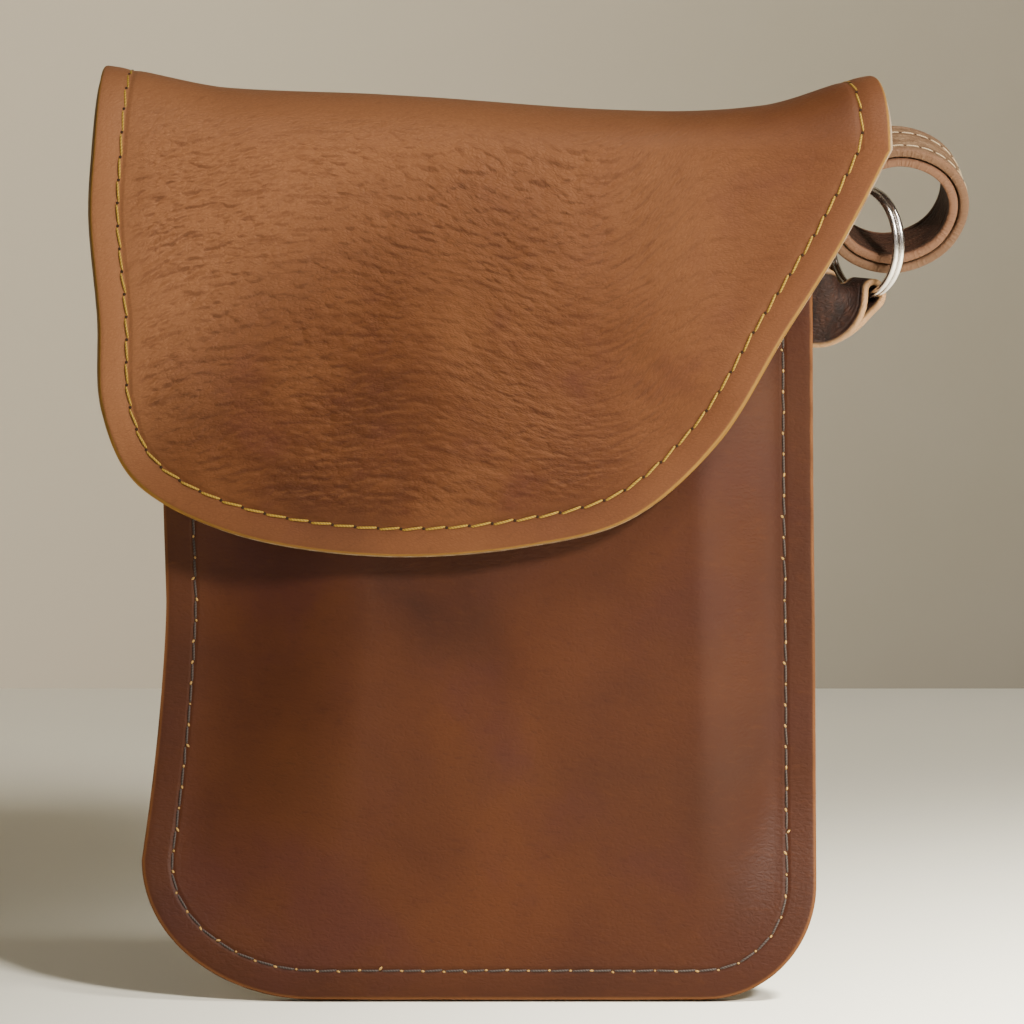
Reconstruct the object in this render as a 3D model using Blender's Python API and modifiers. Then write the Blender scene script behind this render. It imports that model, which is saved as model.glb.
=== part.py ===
"""A small leather flap pouch: two sewn panels, a lined flap with a hidden magnetic catch,
and a side tab that holds a split ring with a strap loop on it.

The part's frame has +Z up and its front faces -Y. The origin is the middle of the back panel's
bottom edge, on the floor, and the pouch leans back a little from there. Sizes below are in
millimetres and degrees; `MM` turns a length into Blender's metres where a mesh is made.
"""

import math

import bmesh
import bpy
import numpy as np
from mathutils import Matrix, Vector

MM = 0.001
GAP = 0.3                      # clearance between pieces that touch

# Body: two panels sewn along the sides and the bottom
PANEL_THICK = 2.0
BODY_TOP = 145.0
BODY_WAIST = 55.2              # half width at the waist
BODY_WAIST_HEIGHT = 70.0
BODY_FLARE = 4.4               # extra half width of the left side at the bottom corner
BODY_TOP_FLARE = 2.0           # extra half width at the mouth
BODY_RIGHT = 59.2              # half width of the right side at the bottom corner
BODY_RIGHT_TAPER = 1.2
LEFT_CORNER = (31.0, 24.0)     # radii of the bottom corners along X and Z
RIGHT_CORNER = (20.0, 20.0)
SEAM_MARGIN = 6.0              # flat strip along the seam
SHOULDER = 14.0                # width of the slope from the seam up to the full depth
FRONT_SEAM_Y = -(PANEL_THICK + GAP)
FRONT_BULGE = 7.5
BACK_BULGE = 3.0
LEAN = 7.5                     # how far back the pouch stands from the foot of its seam
LEAN_START, LEAN_HEIGHT = 2.0, 40.0    # the seam's foot stands straight, then leans up to here
BACK_TUCK, BACK_TUCK_START = 0.6, 108.0        # the back panel draws in a little towards the mouth

# Flap: outer leather and lining, in a tail, a crown and a front
FLAP_THICK = 1.8
LINING_THICK = 1.2
LINING_OFFSET = FLAP_THICK / 2 + GAP + LINING_THICK / 2
FLAP_Y = -9.5                  # outer leather's middle, in front
FLAP_SIDE_CURL = 4.2           # how far the flap's lower sides curl back
TAIL_STANDOFF = PANEL_THICK / 2 + GAP + FLAP_THICK / 2
TAIL_Y = LEAN + BACK_BULGE + TAIL_STANDOFF
TAIL_WIDTH = 56.0              # half width
TAIL_BOTTOM = 127.0
FOLD_Z = 146.0                 # where the crown leaves the tail
BEND_Z = 150.0                 # where the front hangs from the crown
CROWN_PEAKS = [(-66.0, 164.2), (-45.0, 160.3), (-15.0, 158.9), (28.0, 156.2), (50.0, 157.2), (68.0, 162.3)]
CROWN_FLARE = (9.6, 12.2)      # how far the crown widens past the tail, left and right
CROWN_FLARE_END = 0.45         # the turn at which that flare is complete
CROWN_SPREAD = (1.8, 3.4)      # how far it widens after that
FLAP_OUTLINE = [
    (-67.4, 150.0), (-68.0, 138.0), (-66.6, 121.0), (-66.0, 104.5), (-59.4, 91.2), (-42.0, 82.4),
    (-17.0, 78.9), (8.0, 80.6), (27.0, 85.8), (42.0, 99.4), (53.4, 118.0), (63.0, 133.5), (71.6, 150.0),
]
LEFT_TURN, RIGHT_TURN = 4, 9   # the outline's points where the sides turn into the bottom edge

# Thread
THREAD_RADIUS = 0.3
THREAD_STANDOFF = 0.25
STITCH_MARGIN = 5.2
ROUTE_SPACING = 5.5            # between the points that a thread runs through
TAIL_STITCH_MARGIN = 4.0
CROWN_STITCH_MARGIN = 0.04     # as a share of the crown's width, and of its turn

# Magnetic catch, between the flap's lining and the front panel
CATCH_HEIGHT = 99.0
MAGNET_RADIUS, MAGNET_THICK, KEEPER_THICK = 6.0, 1.5, 1.0
PATCH_RADIUS, PATCH_SKIN = 10.0, 0.4
PATCH_STITCH_MARGIN = 1.8
PATCH_THREAD_STANDOFF = 0.2
FINE_THREAD_RADIUS = 0.25

# Tab, ring and strap loop at the right side
TAB_HEIGHT = 118.0
TAB_THICK = 1.1
TAB_SEAM_WIDTH, TAB_RING_WIDTH = 14.0, 6.0
TAB_ROOT_X = 50.0
TAB_LIP = 0.4                  # how far outside the seam the tab starts to turn
TAB_RISE = Vector((0.0, 0.0, 0.6))     # how steeply it arrives at the ring
TAB_LEAD = 0.8
TAB_ROOM, TAB_ROOM_REACH = 4.1, 20.0   # the front panel stands off this far to let the tab in
RING_CENTRE = Vector((67.4, 9.0, 132.7))
RING_YAW = 52.0
RING_RADIUS, WIRE_RADIUS = 9.4, 0.6
COIL_PITCH = 1.25
CROSSOVER = 28.0               # angle over which the wire steps from one turn to the next
RING_END_GAP = 4.0             # angle left between the wire's ends and its steps
RING_START = 150.0             # angle at which the wire starts
TUNNEL_RADIUS = 1.7
LOOP_CENTRE = Vector((72.15, 6.3, 140.3))
LOOP_TILT, LOOP_TURN = 25.0, 9.2
LOOP_HALF_WIDTH, LOOP_HALF_HEIGHT = 11.2, 10.6
STRAP_WIDTH, STRAP_LAYER = 9.0, 1.65
STRAP_THREAD_STANDOFF, STRAP_STITCH_MARGIN = 0.2, 1.6
STRAP_THREAD_START, STRAP_THREAD_SPAN = -135.0, 350.0

LEATHER = (0.165, 0.066, 0.032)
FLAP_LEATHER = (0.23, 0.088, 0.036)
SUEDE = (0.25, 0.15, 0.06)
TAB_LEATHER = (0.06, 0.026, 0.016)
YELLOW_THREAD = (0.62, 0.40, 0.10)
CREAM_THREAD = (0.72, 0.62, 0.44)
STEEL = (0.50, 0.49, 0.47)


def ease(start, end, value):
    """Rise smoothly from 0 at start to 1 at end."""
    step = np.clip((value - start) / (end - start), 0.0, 1.0)
    return step * step * (3.0 - 2.0 * step)


def spline(points, position):
    """Read a Catmull-Rom curve through the points, where whole positions are the points."""
    last = len(points) - 1
    index = min(int(position), last - 1)
    step = position - index
    corner = [np.array(points[min(max(index + k, 0), last)], dtype=float) for k in (-1, 0, 1, 2)]
    return 0.5 * (
        2.0 * corner[1] + (corner[2] - corner[0]) * step
        + (2.0 * corner[0] - 5.0 * corner[1] + 4.0 * corner[2] - corner[3]) * step ** 2
        + (3.0 * corner[1] - corner[0] - 3.0 * corner[2] + corner[3]) * step ** 3)


def corner_inset(z, radii):
    """How far a rounded bottom corner lies inside the straight side at this height."""
    reach, height = radii
    return reach * (1.0 - math.sqrt(max(0.0, 1.0 - max(0.0, 1.0 - z / height) ** 2)))


def body_sides(z):
    """The body's left and right X at this height."""
    below = max(0.0, (BODY_WAIST_HEIGHT - z) / (BODY_WAIST_HEIGHT - LEFT_CORNER[1]))
    above = max(0.0, (z - BODY_WAIST_HEIGHT) / (BODY_TOP - BODY_WAIST_HEIGHT))
    left = -(BODY_WAIST + BODY_FLARE * min(below, 1.0) ** 1.5 + BODY_TOP_FLARE * above)
    right = BODY_RIGHT - BODY_RIGHT_TAPER * ease(LEFT_CORNER[1], BODY_TOP, z)
    return left + corner_inset(z, LEFT_CORNER), right - corner_inset(z, RIGHT_CORNER)


def fullness(x, z):
    """How far a panel has risen from its seam: 0 along the seam, 1 in the middle."""
    left, right = body_sides(z)
    across = ease(SEAM_MARGIN, SEAM_MARGIN + SHOULDER, min(x - left, right - x))
    return across * ease(SEAM_MARGIN, SEAM_MARGIN + 1.5 * SHOULDER, z)


def tab_room(x, z):
    """How far the front panel's edge stands off to let the tab into the seam."""
    return TAB_ROOM * math.exp(-((z - TAB_HEIGHT) / TAB_ROOM_REACH) ** 2) * ease(30.0, 48.0, x)


def lean(z):
    """How far the body stands back from the foot of its seam at this height."""
    return LEAN * ease(LEAN_START, LEAN_HEIGHT, z)


def front_y(x, z):
    """The middle of the front panel's leather."""
    return FRONT_SEAM_Y + lean(z) - FRONT_BULGE * fullness(x, z) - tab_room(x, z)


def back_y(x, z):
    """The middle of the back panel's leather."""
    tuck = BACK_TUCK * ease(BACK_TUCK_START, BODY_TOP, z)
    return lean(z) + (BACK_BULGE - tuck) * fullness(x, z)


def flap_y(x, z):
    """The flap front's outer leather, flat at the bend and curling back lower down."""
    return FLAP_Y + FLAP_SIDE_CURL * (x / 68.0) ** 2 * ease(BEND_Z, 70.0, z)


def tail_y(x, z):
    """The tail follows the back panel below and is straight at the fold."""
    follow = back_y(x, z) + TAIL_STANDOFF
    return follow + (TAIL_Y - follow) * ease(TAIL_BOTTOM + 3.0, FOLD_Z - 2.0, z)


def peak(x):
    """The crown's highest Z at this X."""
    xs = [point[0] for point in CROWN_PEAKS]
    index = min(max(int(np.searchsorted(xs, x)) - 1, 0), len(xs) - 2)
    step = min(max((x - xs[index]) / (xs[index + 1] - xs[index]), 0.0), 1.0)
    return spline(CROWN_PEAKS, index + step)[1]


def crown_point(across, turn, inward=0.0):
    """A point of the crown: `turn` runs from 0 at the fold to 1 at the bend."""
    flare = ease(0.0, CROWN_FLARE_END, turn)
    spread = max(0.0, turn - CROWN_FLARE_END) / (1.0 - CROWN_FLARE_END)
    left = -TAIL_WIDTH - CROWN_FLARE[0] * flare - CROWN_SPREAD[0] * spread
    right = TAIL_WIDTH + CROWN_FLARE[1] * flare + CROWN_SPREAD[1] * spread
    x = left + (right - left) * across
    angle = math.pi * turn
    base = FOLD_Z + (BEND_Z - FOLD_Z) * turn + GAP / 2 * abs(math.cos(angle))
    depth = (TAIL_Y - FLAP_Y) / 2 - inward
    rise = peak(x) - FLAP_THICK / 2 - FOLD_Z - (BEND_Z - FOLD_Z) / 2 - inward
    return x, (TAIL_Y + FLAP_Y) / 2 + depth * math.cos(angle), base + rise * math.sin(angle)


def flap_point(across, down):
    """A point of the flap's front, spanned between its four edges, as X and Z."""
    last = len(FLAP_OUTLINE) - 1
    left = spline(FLAP_OUTLINE, LEFT_TURN * down)
    right = spline(FLAP_OUTLINE, last - (last - RIGHT_TURN) * down)
    bottom = spline(FLAP_OUTLINE, LEFT_TURN + (RIGHT_TURN - LEFT_TURN) * across)
    corners = [np.array(FLAP_OUTLINE[k], dtype=float) for k in (0, last, LEFT_TURN, RIGHT_TURN)]
    top = corners[0] + (corners[1] - corners[0]) * across
    mix = ((corners[0] * (1 - across) + corners[1] * across) * (1 - down)
           + (corners[2] * (1 - across) + corners[3] * across) * down)
    x, z = top * (1 - down) + bottom * down + left * (1 - across) + right * across - mix
    return x, min(z, BEND_Z - GAP / 2)


def inset_route(points, distance, spacing):
    """Move an open outline inward, to the left of its direction, with evenly spaced points."""
    points = np.array(points, dtype=float)
    run = np.gradient(points, axis=0)
    normal = np.stack([-run[:, 1], run[:, 0]], axis=1)
    points = points + distance * normal / np.linalg.norm(normal, axis=1, keepdims=True)
    length = np.concatenate([[0.0], np.cumsum(np.linalg.norm(np.diff(points, axis=0), axis=1))])
    stops = np.linspace(0.0, length[-1], max(2, int(length[-1] / spacing) + 1))
    return [(np.interp(s, length, points[:, 0]), np.interp(s, length, points[:, 1])) for s in stops]


def body_route(spacing):
    """The seam's stitch line, from the left of the mouth round the bottom to the right."""
    heights = [BODY_TOP * (1 - k / 90) ** 1.6 for k in range(91)]
    left = [(body_sides(z)[0], z) for z in heights]
    right = [(body_sides(z)[1], z) for z in reversed(heights)]
    flat = [(x, 0.0) for x in np.linspace(left[-1][0], right[0][0], 24)[1:-1]]
    return inset_route(left + flat + right, STITCH_MARGIN, spacing)


def flap_route(spacing):
    """The stitch line round the flap's front."""
    last = len(FLAP_OUTLINE) - 1
    edge = [spline(FLAP_OUTLINE, last * k / 150) for k in range(151)]
    return [(x, z) for x, z in inset_route(edge, STITCH_MARGIN, spacing) if z < BEND_Z - 1.0]


def material(name, colour, roughness, metallic=0.0):
    """Make a Principled material."""
    made = bpy.data.materials.new(name)
    made.use_nodes = True
    shader = made.node_tree.nodes["Principled BSDF"]
    shader.inputs["Base Color"].default_value = (*colour, 1.0)
    shader.inputs["Roughness"].default_value = roughness
    shader.inputs["Metallic"].default_value = metallic
    made.diffuse_color = (*colour, 1.0)
    return made


def add_part(name, data, look):
    """Put a mesh or curve into the part's collection with its own material."""
    obj = bpy.data.objects.new(name, data)
    PARTS.objects.link(obj)
    data.materials.append(material(name, *look))
    return obj


def sheet(name, point, columns, rows, thickness, look):
    """A curved leather sheet: a grid laid along `point(across, along)` and given a thickness."""
    mesh = bmesh.new()
    bmesh.ops.create_grid(mesh, x_segments=columns, y_segments=rows, size=0.5)
    for vertex in mesh.verts:
        vertex.co = Vector(point(vertex.co.x + 0.5, vertex.co.y + 0.5)) * MM
    data = bpy.data.meshes.new(name)
    mesh.to_mesh(data)
    mesh.free()
    obj = add_part(name, data, look)
    solid = obj.modifiers.new("Thickness", "SOLIDIFY")
    solid.thickness = thickness * MM
    solid.offset = 0.0
    solid.use_even_offset = True
    return obj


def tube(name, points, radius, look, sides=1):
    """A thread or wire along the points, with closed ends."""
    curve = bpy.data.curves.new(name, "CURVE")
    curve.dimensions = "3D"
    curve.bevel_depth = radius * MM
    curve.bevel_resolution = sides
    curve.use_fill_caps = True
    line = curve.splines.new("POLY")
    line.points.add(len(points) - 1)
    for stop, place in zip(line.points, points):
        stop.co = (*(Vector(place) * MM), 1.0)
    return add_part(name, curve, look)


def turned(name, profile, centre, look, steps=28):
    """A round piece about the Y axis: the profile is (radius, Y) pairs, outer side first."""
    mesh = bpy.data.meshes.new(name)
    points = [(radius * MM, 0.0, y * MM) for radius, y in profile]
    mesh.from_pydata(points, [(k, k + 1) for k in range(len(points) - 1)], [])
    obj = add_part(name, mesh, look)
    turn = obj.modifiers.new("Turn", "SCREW")
    turn.steps = turn.render_steps = steps
    turn.use_merge_vertices = True
    turn.merge_threshold = 0.00001
    obj.rotation_euler = (-math.pi / 2, 0.0, 0.0)
    obj.location = Vector(centre) * MM
    return obj


def disc(name, radius, thickness, centre, look):
    """A plain disc about the Y axis."""
    mesh = bmesh.new()
    bmesh.ops.create_cone(mesh, cap_ends=True, segments=28, radius1=radius * MM, radius2=radius * MM,
                          depth=thickness * MM, matrix=Matrix.Rotation(math.pi / 2, 4, "X"))
    data = bpy.data.meshes.new(name)
    mesh.to_mesh(data)
    mesh.free()
    obj = add_part(name, data, look)
    obj.location = Vector(centre) * MM
    return obj


def thread_ring(name, radius, centre):
    """A closed round of thread about the Y axis."""
    bpy.ops.mesh.primitive_torus_add(
        major_segments=20, minor_segments=6, major_radius=radius * MM, minor_radius=FINE_THREAD_RADIUS * MM,
        location=Vector(centre) * MM, rotation=(math.pi / 2, 0.0, 0.0))
    obj = bpy.context.object
    obj.name = obj.data.name = name
    for home in obj.users_collection:
        home.objects.unlink(obj)
    PARTS.objects.link(obj)
    obj.data.materials.append(material(name, YELLOW_THREAD, 0.7))
    return obj


def panel(name, surface, top):
    """One body panel: rows run up from the floor, closer together round the corners."""
    def point(across, along):
        z = top * along ** 1.35
        left, right = body_sides(z)
        spread = 0.5 * across + 0.25 * (1.0 - math.cos(math.pi * across))
        x = left + (right - left) * spread
        return x, surface(x, z), z
    return sheet(name, point, 20, 26, PANEL_THICK, (LEATHER, 0.5))


def make_body():
    """The two panels and the thread of their seam."""
    panel("back_panel", back_y, BODY_TOP - 1.0)
    panel("front_panel", front_y, BODY_TOP)
    lift = PANEL_THICK / 2 + THREAD_STANDOFF + THREAD_RADIUS
    route = body_route(ROUTE_SPACING)
    behind = [(x, back_y(x, z) + lift, z) for x, z in route if z < TAIL_BOTTOM - 2.0]
    ahead = [(x, front_y(x, z) - lift, z) for x, z in route if z < BODY_TOP - 4.0]
    tube("seam_needle_thread", behind, THREAD_RADIUS, (YELLOW_THREAD, 0.7))
    tube("seam_bobbin_thread", ahead, THREAD_RADIUS, (TAB_LEATHER, 0.7))


def make_flap():
    """The flap's tail, crown and front, each of outer leather, with its lining and thread."""
    outer, inner = (FLAP_LEATHER, 0.45), (SUEDE, 0.85)

    def tail(across, along):
        x = TAIL_WIDTH * (2.0 * across - 1.0)
        z = TAIL_BOTTOM + (FOLD_Z - GAP / 2 - TAIL_BOTTOM) * along
        return x, tail_y(x, z), z

    def front(across, down):
        x, z = flap_point(across, down)
        return x, flap_y(x, z), z

    def front_lining(across, down):
        x, z = flap_point(across, down)
        return x, flap_y(x, z) + LINING_OFFSET, z

    sheet("flap_tail", tail, 26, 6, FLAP_THICK, outer)
    sheet("flap_crown", crown_point, 18, 14, FLAP_THICK, outer)
    sheet("crown_lining", lambda s, t: crown_point(s, t, LINING_OFFSET), 18, 14, LINING_THICK, inner)
    sheet("flap_front", front, 18, 14, FLAP_THICK, outer)
    sheet("flap_lining", front_lining, 16, 12, LINING_THICK, inner)

    lift = FLAP_THICK / 2 + THREAD_STANDOFF + THREAD_RADIUS
    yellow = (YELLOW_THREAD, 0.7)
    side = TAIL_WIDTH - TAIL_STITCH_MARGIN
    low, high = TAIL_BOTTOM + TAIL_STITCH_MARGIN, FOLD_Z - TAIL_STITCH_MARGIN
    corners = [(-side, high), (-side, low)] + [(x, low) for x in np.linspace(-side, side, 27)[1:-1]]
    corners += [(side, low), (side, high)]
    tube("tail_thread", [(x, tail_y(x, z) + lift, z) for x, z in corners], THREAD_RADIUS, yellow)
    first, last = CROWN_STITCH_MARGIN, 1.0 - CROWN_STITCH_MARGIN
    for name, across in (("crown_thread_left", first), ("crown_thread_right", last)):
        path = [crown_point(across, turn, -lift) for turn in np.linspace(first, last, 17)]
        tube(name, path, THREAD_RADIUS, yellow)
    route = flap_route(ROUTE_SPACING)
    tube("flap_needle_thread", [(x, flap_y(x, z) - lift, z) for x, z in route], THREAD_RADIUS, yellow)
    under = LINING_OFFSET + LINING_THICK / 2 + THREAD_STANDOFF + THREAD_RADIUS
    tube("flap_bobbin_thread", [(x, flap_y(x, z) + under, z) for x, z in route], THREAD_RADIUS,
         (TAB_LEATHER, 0.7))


def make_catch():
    """A magnet under a patch on the lining, and a steel keeper under a patch behind the front panel."""
    lining = FLAP_Y + LINING_OFFSET + LINING_THICK / 2 + GAP
    keeper = front_y(0.0, CATCH_HEIGHT) + PANEL_THICK / 2 + GAP
    catches = (("flap_magnet", "magnet_patch", lining, MAGNET_THICK),
               ("closure_keeper", "keeper_patch", keeper, KEEPER_THICK))
    for metal, patch, start, thick in catches:
        disc(metal, MAGNET_RADIUS, thick, (0.0, start + thick / 2, CATCH_HEIGHT), (STEEL, 0.35, 1.0))
        room = thick + GAP
        height = room + PATCH_SKIN
        profile = [(0.0, height), (PATCH_RADIUS - 0.5, height), (PATCH_RADIUS, height - 0.5),
                   (PATCH_RADIUS, 0.0), (MAGNET_RADIUS + GAP, 0.0), (MAGNET_RADIUS + GAP, room), (0.0, room)]
        turned(patch, profile, (0.0, start, CATCH_HEIGHT), (SUEDE, 0.85))
        sewn = start + height + FINE_THREAD_RADIUS + PATCH_THREAD_STANDOFF
        thread_ring(patch + "_thread", PATCH_RADIUS - PATCH_STITCH_MARGIN, (0.0, sewn, CATCH_HEIGHT))


def ring_axes():
    """The ring's own directions: along its plane, and along its axis."""
    yaw = math.radians(RING_YAW)
    return Vector((math.cos(yaw), -math.sin(yaw), 0.0)), Vector((math.sin(yaw), math.cos(yaw), 0.0))


def tunnel_centre():
    """The middle of the tab's fold, on the line the ring swings about."""
    rise = RING_RADIUS - math.sqrt(RING_RADIUS ** 2 - (TAB_RING_WIDTH / 2) ** 2)
    return RING_CENTRE - Vector((0.0, 0.0, RING_RADIUS - rise / 2))


def make_tab():
    """A strip from the side seam that folds round the ring and comes back, turning as it goes."""
    along_ring, ring_axis = ring_axes()
    tunnel = tunnel_centre()
    arrive = (ring_axis * TAB_LEAD + TAB_RISE).normalized()
    seam_y = LEAN - (PANEL_THICK / 2 + GAP + TAB_THICK + GAP / 2)
    root = Vector((TAB_ROOT_X, seam_y, TAB_HEIGHT))
    lip = Vector((BODY_RIGHT + TAB_LIP, seam_y, TAB_HEIGHT))
    seam_half = (TAB_THICK + GAP) / 2
    fold_half = TUNNEL_RADIUS + TAB_THICK / 2

    def layer(step):
        """Centre, width direction, width and half spacing of the two layers on the way out."""
        if step < 0.0:
            straight = root.lerp(lip, 1.0 + step)
            return straight, Vector((0, 0, 1)), TAB_SEAM_WIDTH, seam_half, Vector((0, -1, 0))
        across = tunnel - lip
        leave, reach = Vector((across.length, 0, 0)), arrive * across.length
        centre = (lip + across * (3 * step ** 2 - 2 * step ** 3)
                  + leave * (step ** 3 - 2 * step ** 2 + step)
                  + reach * (step ** 3 - step ** 2))
        slope = (across * (6 * step - 6 * step ** 2)
                 + leave * (3 * step ** 2 - 4 * step + 1)
                 + reach * (3 * step ** 2 - 2 * step))
        turn = float(ease(0.0, 1.0, step))
        width = Vector((0, 0, 1)) * (1 - turn) - along_ring * turn
        width = (width - slope * width.dot(slope) / slope.length_squared).normalized()
        apart = slope.normalized().cross(width).normalized()
        size = TAB_SEAM_WIDTH + (TAB_RING_WIDTH - TAB_SEAM_WIDTH) * turn
        return centre, width, size, seam_half + (fold_half - seam_half) * turn, apart

    stations = []
    steps = [-1.0, -0.5, 0.0] + [k / 7 for k in range(1, 8)]
    for step in steps:
        centre, width, size, half, apart = layer(step)
        stations.append((centre + apart * half, width, size))
    centre, width, size, half, apart = layer(1.0)
    for k in range(1, 10):
        angle = math.pi * k / 10
        spot = centre + apart * half * math.cos(angle) + arrive * half * math.sin(angle)
        stations.append((spot, width, size))
    for step in reversed(steps):
        centre, width, size, half, apart = layer(step)
        stations.append((centre - apart * half, width, size))

    def point(across, along):
        spot, width, size = stations[round(along * (len(stations) - 1))]
        return spot + width * size * (across - 0.5)

    sheet("ring_tab", point, 3, len(stations) - 1, TAB_THICK, (TAB_LEATHER, 0.6))


def make_ring():
    """A split ring: two turns of wire, with a step where one turn passes to the next."""
    along_ring, ring_axis = ring_axes()
    up = Vector((0.0, 0.0, 1.0))
    path = []
    for angle in np.linspace(0.0, 720.0 - CROSSOVER - RING_END_GAP, 65):
        side = COIL_PITCH * (float(ease(360.0 - CROSSOVER, 360.0, angle)) - 0.5)
        swing = math.radians(angle + RING_START)
        spoke = math.cos(swing) * along_ring + math.sin(swing) * up
        path.append(RING_CENTRE + RING_RADIUS * spoke + side * ring_axis)
    tube("split_ring", path, WIRE_RADIUS, (STEEL, 0.25, 1.0), sides=2)


def loop_axes():
    """The strap loop's own directions: across it, up it, and along the strap's width."""
    tilt, turn = math.radians(LOOP_TILT), math.radians(LOOP_TURN)
    width = Vector((-math.sin(turn) * math.cos(tilt), math.cos(turn) * math.cos(tilt), math.sin(tilt)))
    across = Vector((width.y, -width.x, 0.0)).normalized()
    return across, across.cross(width).normalized() * -1.0, width


def loop_point(angle, offset, along):
    """A point of the loop: offset outward from its middle line, and along the strap's width."""
    across, up, width = loop_axes()
    c, s = math.cos(angle), math.sin(angle)
    normal = Vector((c / LOOP_HALF_WIDTH, s / LOOP_HALF_HEIGHT)).normalized()
    return (LOOP_CENTRE + across * (LOOP_HALF_WIDTH * c + offset * normal.x)
            + up * (LOOP_HALF_HEIGHT * s + offset * normal.y) + width * along)


def make_loop():
    """Two layers of strap in a closed loop through the ring, sewn with two rows of thread."""
    shift = (STRAP_LAYER + GAP) / 2
    layers = (("strap_outer", shift, (LEATHER, 0.5)), ("strap_inner", -shift, (TAB_LEATHER, 0.8)))
    for name, offset, look in layers:
        mesh = bmesh.new()
        bmesh.ops.create_cone(mesh, cap_ends=False, segments=44, radius1=1.0, radius2=1.0, depth=STRAP_WIDTH)
        for vertex in mesh.verts:
            angle = math.atan2(vertex.co.y, vertex.co.x)
            vertex.co = loop_point(angle, offset, vertex.co.z) * MM
        bmesh.ops.recalc_face_normals(mesh, faces=mesh.faces)
        data = bpy.data.meshes.new(name)
        mesh.to_mesh(data)
        mesh.free()
        obj = add_part(name, data, look)
        solid = obj.modifiers.new("Thickness", "SOLIDIFY")
        solid.thickness = STRAP_LAYER * MM
        solid.offset = 0.0
        solid.use_even_offset = True
    lift = shift + STRAP_LAYER / 2 + STRAP_THREAD_STANDOFF + FINE_THREAD_RADIUS
    margin = STRAP_WIDTH / 2 - STRAP_STITCH_MARGIN
    angles = np.radians(np.linspace(STRAP_THREAD_START, STRAP_THREAD_START + STRAP_THREAD_SPAN, 35))
    for name, along in (("strap_thread_front", -margin), ("strap_thread_back", margin)):
        path = [loop_point(angle, lift, along) for angle in angles]
        tube(name, path, FINE_THREAD_RADIUS, (CREAM_THREAD, 0.7))


def hang_on(name, place, nodes):
    """Parent the nodes to an empty on their joint's axis."""
    axis = bpy.data.objects.new(name, None)
    PARTS.objects.link(axis)
    axis.location = Vector(place) * MM
    axis.empty_display_size = 0.01
    for node in nodes:
        obj = bpy.data.objects[node]
        obj.parent = axis
        obj.matrix_parent_inverse = Matrix.Translation(-Vector(place) * MM)


for old in list(bpy.data.objects):
    bpy.data.objects.remove(old)
PARTS = bpy.data.collections.new("leather_flap_pouch")
bpy.context.scene.collection.children.link(PARTS)
make_body()
make_flap()
make_catch()
make_tab()
make_ring()
make_loop()
hang_on("flap_fold_axis", (0.0, TAIL_Y + FLAP_THICK / 2, FOLD_Z),
        ["flap_crown", "crown_lining", "crown_thread_left", "crown_thread_right"])
hang_on("flap_bend_axis", (0.0, FLAP_Y - FLAP_THICK / 2, BEND_Z),
        ["flap_front", "flap_lining", "flap_needle_thread", "flap_bobbin_thread", "flap_magnet",
         "magnet_patch", "magnet_patch_thread"])
hang_on("ring_swing_axis", tunnel_centre(), ["split_ring"])
hang_on("loop_slide_axis", RING_CENTRE,
        ["strap_outer", "strap_inner", "strap_thread_front", "strap_thread_back"])
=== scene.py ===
"""A small leather flap pouch with a side tab, a split ring and a strap loop.

Lengths in the classes are millimetres and angles are degrees; `MM` turns a length into Blender's
metres where a mesh is made. +Z is up, the front faces -Y, and the tab is on the +X side.
"""

import logging
import math
from dataclasses import dataclass
from enum import Enum
from typing import Any, Callable, Sequence, Union

import bpy
import numpy as np
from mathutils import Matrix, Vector
from mathutils.kdtree import KDTree

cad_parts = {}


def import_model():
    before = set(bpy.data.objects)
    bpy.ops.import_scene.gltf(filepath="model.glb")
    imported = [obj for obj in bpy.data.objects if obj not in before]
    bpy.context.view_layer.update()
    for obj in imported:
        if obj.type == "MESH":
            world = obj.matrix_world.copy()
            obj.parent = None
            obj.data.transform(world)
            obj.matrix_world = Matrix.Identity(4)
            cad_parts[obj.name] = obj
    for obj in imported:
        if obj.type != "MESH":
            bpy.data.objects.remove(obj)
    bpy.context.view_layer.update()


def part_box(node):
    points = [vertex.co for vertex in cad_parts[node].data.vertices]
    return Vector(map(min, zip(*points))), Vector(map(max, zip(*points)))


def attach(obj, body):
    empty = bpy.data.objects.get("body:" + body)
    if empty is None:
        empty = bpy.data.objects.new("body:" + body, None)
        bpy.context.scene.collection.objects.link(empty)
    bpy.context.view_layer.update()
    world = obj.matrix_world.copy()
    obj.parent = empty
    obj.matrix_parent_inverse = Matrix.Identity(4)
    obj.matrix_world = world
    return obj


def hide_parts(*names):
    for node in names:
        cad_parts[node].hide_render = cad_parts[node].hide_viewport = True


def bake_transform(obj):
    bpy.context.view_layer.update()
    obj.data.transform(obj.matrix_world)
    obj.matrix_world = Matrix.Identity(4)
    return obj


LOG = logging.getLogger("pouch")
MM = 0.001
UV_UNIT = 100.0                # one unit of a leather's UV map is this many millimetres
EDGE_STEPS = (0.0, 0.12, 0.3, 0.6)     # distances from a free edge that a leather's grid always has
EDGE_THINNEST = 0.45           # a leather's thickness at its free edge, as a share
WELD = 0.00001                 # vertices closer than this are one, in metres
Colour = tuple[float, float, float]
Array = np.ndarray
Laid = tuple[Array, Array, Array]      # points, UVs in millimetres, distances from the free edge
Object = bpy.types.Object
Material = bpy.types.Material


# Small mathematics
# -----------------

def ease(start: float, end: float, value: Array) -> Array:
    """Rise smoothly from 0 at start to 1 at end."""
    step = np.clip((np.asarray(value, dtype=float) - start) / (end - start), 0.0, 1.0)
    return step * step * (3.0 - 2.0 * step)


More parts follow.
